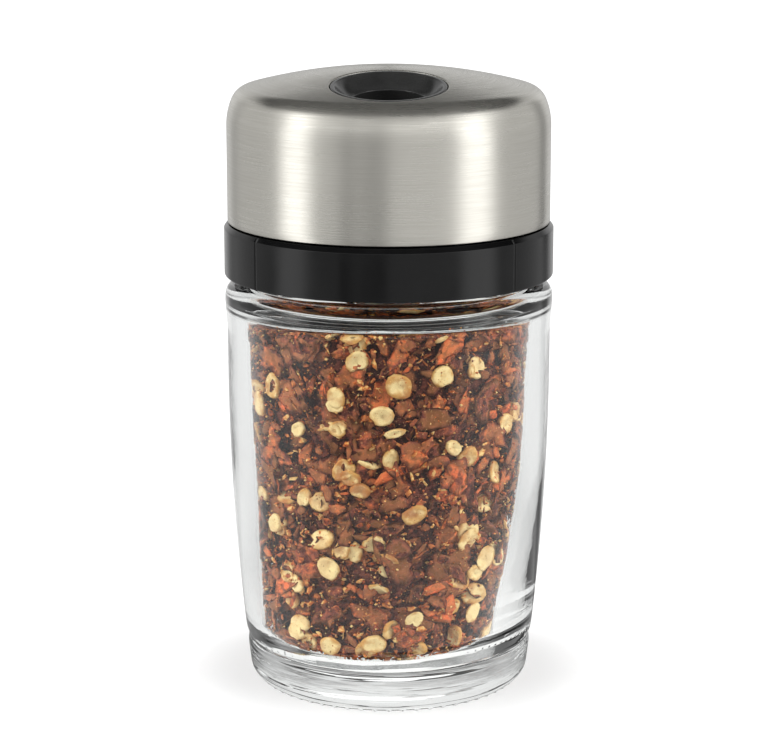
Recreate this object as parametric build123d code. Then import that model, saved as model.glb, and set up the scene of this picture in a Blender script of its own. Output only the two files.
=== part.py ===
"""Spice jar: glass jar, screw collar with a sifter drum, and a turning steel head with a pour funnel.

Millimetres. +Z is up along the jar's axis, the origin is the middle of the foot on the table, and
the funnel points to -Y, which is the front. Every piece is a separate solid, written to parts/.
"""

import math
import os

from build123d import *

# Jar body
collar_radius = 25.0
body_inset = 0.35
bead_inset = 0.05
base_draw = 3.28
shoulder_height = 62.3
shoulder_round = 2.0
bead_height = 2.8
bead_blend = 4.0
straight_side = 5.5
heel_round = 2.5
foot_ring_width = 2.6
foot_recess = 0.8
foot_recess_slope = 1.6

# Nubs under the foot
nub_radius = 0.55
nub_inset = 1.35
nub_count = 60

# Jar cavity
body_wall = 3.0
cavity_curve_drop = 3.5
foot_wall = 3.47
cavity_floor_height = 5.0
cavity_floor_round = 5.8
cavity_shoulder_height = 3.2
cavity_shoulder_round = 2.2

# Neck and its thread
collar_wall = 2.0
thread_clearance = 0.3
thread_depth = 1.2
thread_pitch = 3.2
thread_turns = 1.2
collar_thread_turns = 1.0
thread_root_width = 1.5
thread_crest_width = 0.7
thread_embed = 0.25
thread_start = 1.5
neck_height = 7.1
neck_wall = 2.9
neck_rim_round = 0.7
neck_root_round = 0.5

# Contents: a heap with tipped flakes and round seeds on its side and crown
fill_clearance = 0.25
fill_crown = 1.2
bit_relief = 1.5
bit_spacing = 7.5
bit_depth = 2.2
bit_tip_angle = 16.0
bit_turn_angle = 137.5
flake_radius = 3.0
flake_sides = 6
seed_radius = 2.0
seed_every = 3

# Rim seal
seal_thickness = 0.9
seal_gap = 0.05
seal_inset = 0.3

# Collar
collar_gap = 1.3
deck_thickness = 1.05
bevel_width = 0.55
bevel_height = 0.7
collar_edge_round = 0.25
groove_width = 0.45
groove_depth = 0.35
groove_angle = 49.5

# Head shell: low dome, two shoulder arcs, straight side, hole for the funnel
shell_inset = 0.55
shell_thickness = 0.5
head_height = 23.08
head_gap = 0.25
dome_radius = 83.8
shoulder_arc = 3.15
side_arc = 10.1
shoulder_split_angle = 66.7
funnel_side_margin = 3.35
funnel_boss_margin = 0.7

# Sifter drum
running_clearance = 0.08
drum_wall = 1.4
drum_drop = 8.28
disc_thickness = 1.5
spigot_wall = 1.2
press_clearance = 0.05
pour_hole_radius = 5.0
coarse_hole_radius = 1.15
coarse_hole_spacing = 3.2
fine_hole_radius = 0.55
fine_hole_spacing = 2.05

# Core of the head
core_wall = 1.4
core_lift = 0.2
plate_gap = 0.15
plate_thickness = 1.35
boss_radius = 3.0
boss_height = 4.0
rib_wall = 1.2
rib_inset = 1.1
funnel_clearance = 0.05

# Pour funnel, measured square to the tilted hole
funnel_rim_gap = 0.12
funnel_rim_sink = 0.05
funnel_land = 0.62
funnel_lip_round = 0.22
funnel_depth = 1.8
throat_radius = 5.15
throat_wall = 1.1
flange_thickness = 0.9
bowl_wall = 0.9
bowl_sag = 0.55

# Seal round the throat
chute_seal_width = 1.0
chute_seal_height = 0.85
chute_seal_margin = 0.35
chute_seal_gap = 0.06

# Pivot
pivot_radius = 1.5
screw_head_radius = 2.8
screw_head_height = 1.5
screw_grip = 3.2
screw_slot_width = 0.7
screw_slot_depth = 0.7
washer_radius = 3.6
washer_thickness = 0.5
spring_thickness = 0.3
spring_rise = 0.5
stack_gap = 0.05

cut_overrun = 1.0

# Sizes that follow from the ones above
body_radius = collar_radius - body_inset
bead_radius = collar_radius - bead_inset
bead_bottom = shoulder_height - bead_height
side_curve_height = bead_bottom - bead_blend - straight_side
base_radius = body_radius - base_draw
collar_bore = collar_radius - collar_wall
neck_thread_radius = collar_bore - thread_clearance
neck_radius = neck_thread_radius - thread_depth
neck_bore = neck_radius - neck_wall
cavity_radius = body_radius - body_wall
cavity_curve_top = shoulder_height - cavity_curve_drop
cavity_floor_radius = base_radius - foot_wall
fill_floor = cavity_floor_height + fill_clearance
fill_floor_radius = cavity_floor_radius - fill_clearance
fill_radius = cavity_radius - fill_clearance
fill_top = cavity_curve_top + fill_crown
bit_reach = flake_radius * math.sin(math.radians(bit_tip_angle))
neck_top = shoulder_height + neck_height
deck_bottom = neck_top + seal_thickness + 2 * seal_gap
deck_top = deck_bottom + deck_thickness
collar_bottom = shoulder_height + collar_gap
shell_bottom = deck_top + head_gap
head_top = shell_bottom + head_height
shell_radius = collar_radius - shell_inset
core_outset = shell_thickness + press_clearance
core_bore = shell_radius - core_outset - core_wall
drum_radius = core_bore - running_clearance
drum_bore = drum_radius - drum_wall
spigot_bore = neck_bore + press_clearance
spigot_radius = spigot_bore + spigot_wall
drum_top = head_top - drum_drop
disc_bottom = drum_top - disc_thickness
plate_bottom = drum_top + plate_gap
plate_top = plate_bottom + plate_thickness

hole_outer_edge = shell_radius - funnel_side_margin
hole_inner_edge = boss_radius + funnel_boss_margin
funnel_hole_radius = (hole_outer_edge - hole_inner_edge) / 2
funnel_offset = (hole_outer_edge + hole_inner_edge) / 2
dome_centre = head_top - dome_radius
hole_tilt = math.degrees(math.asin(funnel_offset / dome_radius))
hole_height = dome_centre + math.sqrt(dome_radius**2 - funnel_offset**2)
hole_plane = Plane((0, -funnel_offset, hole_height)).rotated((hole_tilt, 0, 0))
funnel_rim_level = math.sqrt(dome_radius**2 - funnel_hole_radius**2) - dome_radius - funnel_rim_sink
tube_radius = throat_radius + throat_wall


def throat_offset(height):
    """How far in front of the axis the middle of the tilted throat is at a height."""
    return funnel_offset - (hole_height - height) * math.tan(math.radians(hole_tilt))


def ring(outer, inner, low, high):
    """A plain ring between two radii and two heights."""
    body = Pos(0, 0, low) * extrude(Circle(outer), high - low)
    bore = Pos(0, 0, low - cut_overrun) * extrude(Circle(inner), high - low + 2 * cut_overrun)
    return body - bore


def disc(radius, low, high):
    """A plain round disc or rod on the axis."""
    return Pos(0, 0, low) * extrude(Circle(radius), high - low)


def spun(edges, rounds=()):
    """Turn a closed outline of radius and height about the axis, after rounding the named corners."""
    outline = make_face(edges)
    for corner, radius in rounds:
        nearest = outline.vertices().sort_by_distance(Vector(*corner))[0]
        outline = fillet(nearest, radius)
    return revolve(Plane.XZ * outline, Axis.Z)


def drawn_in_radius(top_radius, top_height, bottom_radius, bottom_height, height):
    """The radius at a height of an arc that is upright at its top and draws in towards its bottom."""
    drop = top_height - bottom_height
    draw = top_radius - bottom_radius
    curve_radius = (drop**2 + draw**2) / (2 * draw)
    return top_radius - curve_radius + math.sqrt(curve_radius**2 - (top_height - height) ** 2)


def drawn_in_arc(top_radius, top_height, bottom_radius, bottom_height):
    """An arc that is upright at its top and draws in to a smaller radius at its bottom."""
    middle = bottom_height + (top_height - bottom_height) / 2
    middle_radius = drawn_in_radius(top_radius, top_height, bottom_radius, bottom_height, middle)
    return ThreePointArc((top_radius, top_height), (middle_radius, middle), (bottom_radius, bottom_height))


def ball_radius(edge_radius, rise):
    """The radius of the ball whose cap has this edge radius and this rise."""
    return (edge_radius**2 + rise**2) / (2 * rise)


def screw_thread(root_radius, crest_radius, start, turns):
    """A right-hand thread ridge, wider at its root, that runs into the wall behind it a little."""
    toward_wall = math.copysign(thread_embed, root_radius - crest_radius)
    path = Helix(thread_pitch, thread_pitch * turns, root_radius, center=(0, 0, start))
    ridge = Polyline(
        (root_radius + toward_wall, -thread_root_width / 2),
        (crest_radius, -thread_crest_width / 2),
        (crest_radius, thread_crest_width / 2),
        (root_radius + toward_wall, thread_root_width / 2),
        close=True,
    )
    section = Plane.XZ * Pos(0, start) * make_face(ridge)
    return sweep(section, path=path, is_frenet=True)


def jar_outside():
    """The jar's outer outline, from the middle of the foot up to the rim."""
    foot_edge = base_radius - heel_round
    foot_inner = foot_edge - foot_ring_width
    return [
        Line((0, foot_recess), (foot_inner - foot_recess_slope, foot_recess)),
        Line((foot_inner - foot_recess_slope, foot_recess), (foot_inner, 0)),
        Line((foot_inner, 0), (base_radius, 0)),
        drawn_in_arc(body_radius, side_curve_height, base_radius, 0),
        Line((body_radius, side_curve_height), (body_radius, bead_bottom - bead_blend)),
        Line((body_radius, bead_bottom - bead_blend), (bead_radius, bead_bottom)),
        Line((bead_radius, bead_bottom), (bead_radius, shoulder_height)),
        Line((bead_radius, shoulder_height), (neck_radius, shoulder_height)),
        Line((neck_radius, shoulder_height), (neck_radius, neck_top)),
        Line((neck_radius, neck_top), (0, neck_top)),
        Line((0, neck_top), (0, foot_recess)),
    ]


def cavity():
    """The space inside the jar, open at the rim."""
    shoulder_end = cavity_curve_top + cavity_shoulder_height
    top = neck_top + cut_overrun
    edges = [
        Line((0, cavity_floor_height), (cavity_floor_radius, cavity_floor_height)),
        drawn_in_arc(cavity_radius, cavity_curve_top, cavity_floor_radius, cavity_floor_height),
        Line((cavity_radius, cavity_curve_top), (neck_bore, shoulder_end)),
        Line((neck_bore, shoulder_end), (neck_bore, top)),
        Line((neck_bore, top), (0, top)),
        Line((0, top), (0, cavity_floor_height)),
    ]
    rounds = [
        ((cavity_floor_radius, cavity_floor_height), cavity_floor_round),
        ((cavity_radius, cavity_curve_top), cavity_shoulder_round),
        ((neck_bore, shoulder_end), cavity_shoulder_round),
    ]
    return spun(edges, rounds)


def glass_jar():
    """Thick glass jar with a recessed foot on small nubs, a bead at the shoulder and a threaded neck."""
    rounds = [
        ((base_radius, 0), heel_round),
        ((bead_radius, shoulder_height), shoulder_round),
        ((neck_radius, shoulder_height), neck_root_round),
        ((neck_radius, neck_top), neck_rim_round),
    ]
    jar = spun(jar_outside(), rounds)
    jar -= cavity()
    nub_ring = base_radius - nub_inset
    nubs = PolarLocations(nub_ring, nub_count) * (Pos(0, 0, nub_radius) * Sphere(nub_radius))
    jar += nubs
    jar += screw_thread(neck_radius, neck_thread_radius, shoulder_height + thread_start, thread_turns)
    return jar


def fill_reach(height):
    """How wide the contents may be at a height, drawn in at the side and rounded at the floor."""
    bottom_round = cavity_floor_round - fill_clearance
    below = max(0, fill_floor + bottom_round - height)
    reach = drawn_in_radius(fill_radius, cavity_curve_top, fill_floor_radius, fill_floor, height)
    return reach - bottom_round + math.sqrt(bottom_round**2 - below**2)


def fill_heap():
    """The heap under the flakes and seeds: flat on the floor, drawn in at its side, with a low round crown."""
    floor_radius = fill_floor_radius - bit_relief
    side_radius = fill_radius - bit_relief
    side_top = cavity_curve_top - bit_relief
    crown_top = fill_top - bit_relief
    crown_radius = ball_radius(side_radius, fill_crown)
    halfway = math.asin(side_radius / crown_radius) / 2
    crown_middle = (crown_radius * math.sin(halfway), crown_top - crown_radius * (1 - math.cos(halfway)))
    edges = [
        Line((0, fill_floor), (floor_radius, fill_floor)),
        drawn_in_arc(side_radius, side_top, floor_radius, fill_floor),
        ThreePointArc((side_radius, side_top), crown_middle, (0, crown_top)),
        Line((0, crown_top), (0, fill_floor)),
    ]
    return spun(edges, [((floor_radius, fill_floor), cavity_floor_round - fill_clearance)])


def side_seats():
    """Places for flakes and seeds in rows round the heap's side, so far in that no tipped one leaves it."""
    low = fill_floor + bit_relief + flake_radius
    high = cavity_curve_top - flake_radius
    steps = round((high - low) / bit_spacing)
    seats = []
    for row in range(steps + 1):
        height = low + (high - low) * row / steps
        seat_radius = math.sqrt(fill_reach(height - flake_radius) ** 2 - flake_radius**2) - bit_reach
        count = round(2 * math.pi * seat_radius / bit_spacing)
        for index in range(count):
            angle = 360 * (index + row / 2) / count
            seats.append(Rot(0, 0, angle) * Pos(seat_radius, 0, height) * Rot(0, 90, 0))
    return seats


def crown_seats():
    """Places for flakes and seeds in rings round the crown's middle, so far in that no tipped one leaves it."""
    crown_radius = ball_radius(fill_radius, fill_crown)
    rings = math.floor((fill_radius - flake_radius) / bit_spacing)
    seats = []
    for ring_number in range(rings + 1):
        ring_radius = ring_number * bit_spacing
        lean = math.degrees(math.asin(ring_radius / crown_radius))
        count = max(1, round(2 * math.pi * ring_number))
        for index in range(count):
            around = Pos(0, 0, fill_top - crown_radius) * Rot(0, 0, 360 * index / count) * Rot(0, lean, 0)
            seats.append(around * Pos(0, 0, crown_radius - bit_reach))
    return seats


def loose_bits(seats):
    """A thick flake on each place and a round seed on every few, each tipped in a direction of its own."""
    flake = extrude(RegularPolygon(flake_radius, flake_sides), -bit_depth)
    seed = extrude(Circle(seed_radius), -bit_depth)
    bits = []
    for index, seat in enumerate(seats):
        tip = Rot(0, 0, index * bit_turn_angle) * Rot(bit_tip_angle, 0, 0)
        bits.append(seat * tip * (flake if index % seed_every else seed))
    return bits


def chilli_fill():
    """The chilli, a little clear of the glass: a heap with its main flakes and seeds."""
    return fill_heap() + loose_bits(side_seats() + crown_seats())


def rim_seal():
    """Soft washer between the glass rim and the collar's deck."""
    low = neck_top + seal_gap
    return ring(neck_radius - seal_inset, neck_bore + seal_inset, low, low + seal_thickness)


def collar_ring():
    """Screw collar: threaded skirt, bevelled top edge, deck with a hole for the drum, four grooves."""
    bevel_bottom = deck_top - bevel_height
    deck_hole = spigot_radius + press_clearance
    edges = Polyline(
        (collar_bore, collar_bottom),
        (collar_radius, collar_bottom),
        (collar_radius, bevel_bottom),
        (collar_radius - bevel_width, deck_top),
        (deck_hole, deck_top),
        (deck_hole, deck_bottom),
        (collar_bore, deck_bottom),
        close=True,
    ).edges()
    rounds = [
        ((collar_radius, collar_bottom), collar_edge_round),
        ((collar_radius, bevel_bottom), collar_edge_round),
    ]
    collar = spun(edges, rounds)
    half_pitch = thread_pitch / 2
    thread_low = shoulder_height + thread_start + half_pitch
    collar += screw_thread(collar_bore, neck_radius + thread_clearance, thread_low, collar_thread_turns)
    cutter_height = bevel_bottom - collar_bottom + 2 * cut_overrun
    cutter = Box(2 * groove_depth, groove_width, cutter_height)
    middle = (bevel_bottom + collar_bottom) / 2
    for facing in (-90, 90):
        for side in (-groove_angle, groove_angle):
            collar -= Rot(0, 0, facing + side) * Pos(collar_radius, 0, middle) * cutter
    return collar


def hex_points(spacing, rings):
    """Places of a hexagonal group of holes: the middle one and the rings round it."""
    points = [(0, 0)]
    for number in range(1, rings + 1):
        for side in range(6):
            start = Vector(number * spacing, 0).rotate(Axis.Z, 60 * side)
            step = Vector(spacing, 0).rotate(Axis.Z, 60 * side + 120)
            for place in range(number):
                spot = start + step * place
                points.append((spot.X, spot.Y))
    return points


def station(angle, points, radius):
    """Cutters for one station of the sifter, at an angle round the axis."""
    low = disc_bottom - cut_overrun
    length = disc_thickness + 2 * cut_overrun
    centre = Rot(0, 0, angle) * Pos(throat_offset(drum_top), 0, low)
    return [centre * Pos(x, y, 0) * extrude(Circle(radius), length) for x, y in points]


def sifter_drum():
    """Upright drum on the deck. Its top has fine, coarse and open stations, and a closed one in front."""
    drum = ring(drum_radius, drum_bore, deck_top, drum_top)
    drum += ring(drum_radius, spigot_bore, deck_top, deck_top + drum_wall)
    drum += ring(spigot_radius, spigot_bore, deck_bottom, deck_top + drum_wall)
    drum += disc(drum_radius, disc_bottom, drum_top)
    drum -= station(0, hex_points(fine_hole_spacing, 2), fine_hole_radius)
    drum -= station(90, hex_points(coarse_hole_spacing, 1), coarse_hole_radius)
    drum -= station(180, [(0, 0)], pour_hole_radius)
    drum -= disc(pivot_radius + running_clearance, disc_bottom - cut_overrun, drum_top + cut_overrun)
    return drum


def head_solid(inset, bottom):
    """The head's outer form, drawn in by an inset and filled down to a height."""
    split = math.radians(shoulder_split_angle)
    shoulder_reach = shoulder_arc * math.sin(split) + side_arc * (1 - math.sin(split))
    dome_edge = math.asin((shell_radius - shoulder_reach) / (dome_radius - shoulder_arc))
    arcs = [
        (dome_radius - inset, 0, dome_edge),
        (shoulder_arc - inset, dome_edge, split),
        (side_arc - inset, split, math.pi / 2),
    ]
    radius = 0
    height = head_top - inset
    edges = []
    for size, first, last in arcs:
        points = []
        for angle in (first, (first + last) / 2, last):
            out = radius + size * (math.sin(angle) - math.sin(first))
            up = height + size * (math.cos(angle) - math.cos(first))
            points.append((out, up))
        edges.append(ThreePointArc(*points))
        radius, height = points[-1]
    edges.append(Line((radius, height), (radius, bottom)))
    edges.append(Line((radius, bottom), (0, bottom)))
    edges.append(Line((0, bottom), (0, head_top - inset)))
    return spun(edges)


def tilted_rod(radius):
    """A long rod through the funnel's hole, square to the dome there."""
    return extrude(hole_plane * Circle(radius), head_height, both=True)


def steel_shell():
    """Thin steel shell with the round hole for the funnel."""
    inside = head_solid(shell_thickness, shell_bottom - cut_overrun)
    shell = head_solid(0, shell_bottom) - inside
    upper = Pos(0, 0, plate_top) * extrude(Circle(collar_radius), head_height)
    return shell - (tilted_rod(funnel_hole_radius) & upper)


def cap_core():
    """Moulded inside of the head: wall, plate with one aperture, rib under the dome, boss for the screw."""
    core_bottom = shell_bottom + core_lift
    form = head_solid(core_outset, core_bottom)
    core = form & disc(collar_radius, core_bottom, plate_top)
    core -= disc(core_bore, core_bottom - cut_overrun, plate_bottom)
    rib_radius = core_bore - rib_inset
    core += form & ring(rib_radius, rib_radius - rib_wall, plate_top, head_top)
    core += disc(boss_radius, plate_bottom, plate_top + boss_height)
    core -= disc(pivot_radius - press_clearance, plate_bottom - cut_overrun, plate_bottom + screw_grip)
    core -= tilted_rod(tube_radius + funnel_clearance)
    upper = Pos(0, 0, plate_top) * extrude(Circle(collar_radius), head_height)
    core -= tilted_rod(funnel_hole_radius + funnel_clearance) & upper
    seal_radius = tube_radius + chute_seal_margin + chute_seal_width
    groove = ring(
        seal_radius + press_clearance,
        seal_radius - chute_seal_width - press_clearance,
        plate_bottom - cut_overrun,
        drum_top + chute_seal_gap + chute_seal_height + press_clearance,
    )
    core -= Pos(0, -throat_offset(plate_bottom), 0) * groove
    return core


def chute_seal():
    """Soft ring in the plate's groove, just clear of the drum's top."""
    seal_radius = tube_radius + chute_seal_margin + chute_seal_width
    low = drum_top + chute_seal_gap
    seal = ring(seal_radius, seal_radius - chute_seal_width, low, low + chute_seal_height)
    return Pos(0, -throat_offset(plate_bottom), 0) * seal


def pour_funnel():
    """Dished funnel with a rim that lies in the dome's slope and a tube down to the plate."""
    rim_radius = funnel_hole_radius - funnel_rim_gap
    bowl_radius = rim_radius - funnel_land
    rim = funnel_rim_level
    floor = rim - funnel_depth
    flange_bottom = rim - flange_thickness
    tube_bottom = floor - head_height
    middle = ((bowl_radius + throat_radius) / 2, (rim + floor) / 2 - bowl_sag)
    edges = [
        Line((throat_radius, tube_bottom), (throat_radius, floor)),
        ThreePointArc((throat_radius, floor), middle, (bowl_radius, rim)),
        Line((bowl_radius, rim), (rim_radius, rim)),
        Line((rim_radius, rim), (rim_radius, flange_bottom)),
        Line((rim_radius, flange_bottom), (tube_radius, floor - bowl_wall)),
        Line((tube_radius, floor - bowl_wall), (tube_radius, tube_bottom)),
        Line((tube_radius, tube_bottom), (throat_radius, tube_bottom)),
    ]
    rounds = [((bowl_radius, rim), funnel_lip_round), ((rim_radius, rim), funnel_lip_round)]
    funnel = hole_plane.location * spun(edges, rounds)
    return funnel & disc(collar_radius, plate_bottom, head_top)


def pivot_washer():
    """Flat washer under the drum's top."""
    high = disc_bottom - stack_gap
    return ring(washer_radius, pivot_radius + running_clearance, high - washer_thickness, high)


def pivot_spring():
    """Cone spring washer between the screw's head and the flat washer."""
    high = disc_bottom - 2 * stack_gap - washer_thickness
    inner = pivot_radius + running_clearance
    edges = Polyline(
        (inner, high - spring_thickness),
        (inner, high),
        (screw_head_radius, high - spring_rise),
        (screw_head_radius, high - spring_rise - spring_thickness),
        close=True,
    ).edges()
    return spun(edges)


def pivot_screw():
    """Slotted screw, up through the spring, the washer and the drum into the core's boss."""
    seat = disc_bottom - 3 * stack_gap - washer_thickness - spring_thickness - spring_rise
    screw = disc(screw_head_radius, seat - screw_head_height, seat)
    screw += disc(pivot_radius - press_clearance, seat, plate_bottom + screw_grip - press_clearance)
    slot = Box(2 * screw_head_radius + cut_overrun, screw_slot_width, 2 * screw_slot_depth)
    return screw - Pos(0, 0, seat - screw_head_height) * slot


PIECES = [
    glass_jar,
    chilli_fill,
    rim_seal,
    collar_ring,
    sifter_drum,
    steel_shell,
    cap_core,
    pour_funnel,
    chute_seal,
    pivot_washer,
    pivot_spring,
    pivot_screw,
]


def main():
    """Make every piece and write it to its own file."""
    os.makedirs("parts", exist_ok=True)
    for make in PIECES:
        solid = make()
        export_step(solid, f"parts/{make.__name__}.step")
        print(make.__name__, round(solid.volume, 2))


main()
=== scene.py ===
"""Looks of a glass spice jar with a screw collar and a turning steel head.

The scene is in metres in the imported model's frame: +Z is up along the jar's axis, the origin is the
middle of the foot, and the funnel points to -Y. The sizes held by the classes are millimetres.
"""

import logging
import math
from dataclasses import dataclass, field
from enum import Enum
from typing import Any

import bpy
import numpy as np
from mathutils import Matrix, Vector


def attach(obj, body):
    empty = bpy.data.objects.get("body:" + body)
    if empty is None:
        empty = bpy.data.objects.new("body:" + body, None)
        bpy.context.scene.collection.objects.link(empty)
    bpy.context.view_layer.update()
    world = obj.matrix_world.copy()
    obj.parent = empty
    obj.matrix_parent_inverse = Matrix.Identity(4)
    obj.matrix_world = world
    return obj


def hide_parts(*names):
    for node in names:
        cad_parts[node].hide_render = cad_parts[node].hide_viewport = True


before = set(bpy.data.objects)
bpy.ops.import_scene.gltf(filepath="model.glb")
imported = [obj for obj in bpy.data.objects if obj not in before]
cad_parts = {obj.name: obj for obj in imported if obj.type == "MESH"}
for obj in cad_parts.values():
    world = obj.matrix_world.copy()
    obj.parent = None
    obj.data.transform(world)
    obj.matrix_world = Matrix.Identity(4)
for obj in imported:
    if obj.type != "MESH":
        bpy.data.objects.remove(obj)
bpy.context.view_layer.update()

Array = np.ndarray
Socket = bpy.types.NodeSocket
Node = bpy.types.Node
Tree = bpy.types.NodeTree
Material = bpy.types.Material
Piece = bpy.types.Object
Colour = tuple[float, float, float]

MM = 0.001
TURN = 2 * math.pi
TOUCH = 0.01
THREAD_PITCH = 3.2
THREAD_ROOT = 1.5
THREAD_CREST = 0.7
WHITE = (1.0, 1.0, 1.0)
BLACK = (0.0, 0.0, 0.0)
IMAGE_WIDTH = 779
log = logging.getLogger("spice_jar")


# Shapes


def rounded_outline(corners: list[tuple[float, float, float]], steps: int, support: float) -> Array:
    """Round the corners of an open outline.

    A corner's arc is tangent to both of its sides: its centre lies on the line that halves the corner,
    at radius / sin(half angle), and its points turn evenly from one tangent point to the other. One
    more point stands just outside each end of the arc, so that the shading stays flat beyond it.

    Args:
        corners: Radius, height and rounding radius of each corner, in order.
        steps: Steps in each arc.
        support: Distance of the extra points from the arc's ends.

    Returns:
        The points of the outline, one row of radius and height each.
    """
    places = np.array([corner[:2] for corner in corners])
    points: list[Array] = []
    for index, (radius, height, rounding) in enumerate(corners):
        place = places[index]
        if rounding <= 0:
            points.append(place[None])
            continue
        before = places[index - 1] - place
        after = places[index + 1] - place
        before = before / np.linalg.norm(before)
        after = after / np.linalg.norm(after)
        half = math.acos(float(np.clip(before @ after, -1, 1))) / 2
        middle = (before + after) / np.linalg.norm(before + after)
        centre = place + middle * rounding / math.sin(half)
        reach = rounding / math.tan(half)
        first = place + before * reach - centre
        last = place + after * reach - centre
        sweep = math.pi - 2 * half
        turn = np.linspace(0, 1, steps + 1)[:, None]
        arc = (np.sin((1 - turn) * sweep) * first + np.sin(turn * sweep) * last) / math.sin(sweep)
        points.append((place + before * (reach + support))[None])
        points.append(centre + arc)
        points.append((place + after * (reach + support))[None])
    return np.concatenate(points)


def drawn_in_arc(top: tuple[float, float], bottom: tuple[float, float], steps: int) -> Array:
    """Points of an arc that is upright at its top and draws in towards its bottom.

    The arc's centre is level with its top, and its radius is (drop^2 + draw^2) / (2 draw).

    Args:
        top: Radius and height of the upper end.
        bottom: Radius and height of the lower end.
        steps: Steps along the arc.

    Returns:
        Points from the bottom to the top, one row of radius and height each.
    """
    drop = top[1] - bottom[1]
    draw = top[0] - bottom[0]
    curve = (drop**2 + draw**2) / (2 * draw)
    height = np.linspace(bottom[1], top[1], steps + 1)
    radius = top[0] - curve + np.sqrt(curve**2 - (top[1] - height) ** 2)
    return np.stack([radius, height], axis=1)


def grid_faces(rows: int, columns: int, close_rows: bool = False) -> Array:
    """Quads of a grid whose last column meets its first.

    Args:
        rows: Number of rows of points.
        columns: Number of points in a row.
        close_rows: Whether the last row also meets the first.

    Returns:
        Point numbers of the quads, four to a row.
    """
    row = np.arange(rows if close_rows else rows - 1)[:, None]
    column = np.arange(columns)[None]
    above = (row + 1) % rows
    beside = (column + 1) % columns
    first = [row * columns + column, row * columns + beside]
    second = [above * columns + beside, above * columns + column]
    return np.stack(first + second, axis=-1).reshape(-1, 4)


def lathe_points(outline: Array, angles: Array) -> Array:
    """Turn an outline about the axis: (r cos a, r sin a, z) for each outline point and angle.

    Args:
        outline: Radius and height of each row.
        angles: Angle of each column.

    Returns:
        Points by row and column, three numbers each.
    """
    radius = np.broadcast_to(outline[:, :1], (len(outline), len(angles)))
    height = np.broadcast_to(outline[:, 1:], radius.shape)
    return np.stack([radius * np.cos(angles), radius * np.sin(angles), height], axis=-1)


def even_angles(count: int) -> Array:
    """Angles of a full turn, evenly spaced."""
    return np.arange(count) * TURN / count


def smooth_step(value: Array) -> Array:
    """Ease from 0 to 1: 3v^2 - 2v^3 of the value held between 0 and 1."""
    held = np.clip(value, 0, 1)
    return held * held * (3 - 2 * held)


def thread_rise(points: Array, start: float, turns: float) -> Array:
    """How much of a right-hand thread ridge stands at each point of a wall, from 0 to 1.

    The ridge's middle climbs one pitch a turn. The rise eases from 1 within half the crest's width of
    that line to 0 at half the root's width, and it fades out over the first and last tenth of a turn.

    Args:
        points: Points on the wall.
        start: Height of the ridge's middle where it begins, at angle 0.
        turns: Length of the ridge in turns.

    Returns:
        The rise at each point.
    """
    fades = 10
    flank = (THREAD_ROOT - THREAD_CREST) / 2
    angle = np.arctan2(points[..., 1], points[..., 0]) % TURN / TURN
    rise = np.zeros(angle.shape)
    for turn in range(math.ceil(turns)):
        travelled = angle + turn
        away = np.abs(points[..., 2] - start - THREAD_PITCH * travelled)
        ridge = smooth_step((THREAD_ROOT / 2 - away) / flank)
        fade = smooth_step(travelled * fades) * smooth_step((turns - travelled) * fades)
        rise = np.maximum(rise, ridge * fade)
    return rise


def ripple(points: Array, waves: int, seed: int, length: float) -> Array:
    """A smooth random unevenness between about -1 and 1.

    It is the mean of plane waves of random direction and phase, the lengths of which lie between half
    and twice the given one, scaled up so that it fills the range.

    Args:
        points: Points to work it out at.
        waves: Number of waves.
        seed: Seed of the random directions.
        length: Middle length of the waves.

    Returns:
        The unevenness at each point.
    """
    draw = np.random.default_rng(seed)
    directions = draw.normal(size=(waves, 3))
    directions /= np.linalg.norm(directions, axis=1)[:, None]
    numbers = directions * (TURN / (length * 2 ** draw.uniform(-1, 1, waves)))[:, None]
    phases = draw.uniform(0, TURN, waves)
    return np.sin(points @ numbers.T + phases).sum(-1) / math.sqrt(waves)


def build_object(name: str, points: Array, polygons: list[Array], finish: Material) -> Piece:
    """Make a smooth-shaded mesh object at the origin.

    Args:
        name: Name of the object and its mesh.
        points: Points in millimetres, in any grid shape.
        polygons: Arrays of point numbers, one polygon to a row.
        finish: Material of the whole piece.

    Returns:
        The object, linked into the scene.
    """
    mesh = bpy.data.meshes.new(name)
    flat = np.asarray(points, float).reshape(-1, 3) * MM
    corners = np.concatenate([faces.ravel() for faces in polygons]).astype(np.int32)
    sizes = np.concatenate([np.full(len(faces), faces.shape[1]) for faces in polygons]).astype(np.int32)
    starts = np.concatenate([[0], np.cumsum(sizes)[:-1]]).astype(np.int32)
    mesh.vertices.add(len(flat))
    mesh.vertices.foreach_set("co", flat.astype(np.float32).ravel())
    mesh.loops.add(len(corners))
    mesh.loops.foreach_set("vertex_index", corners)
    mesh.polygons.add(len(sizes))
    mesh.polygons.foreach_set("loop_start", starts)
    mesh.polygons.foreach_set("loop_total", sizes)
    mesh.polygons.foreach_set("use_smooth", np.ones(len(sizes), bool))
    mesh.update(calc_edges=True)
    mesh.materials.append(finish)
    made = bpy.data.objects.new(name, mesh)
    bpy.context.scene.collection.objects.link(made)
    return made


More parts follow.
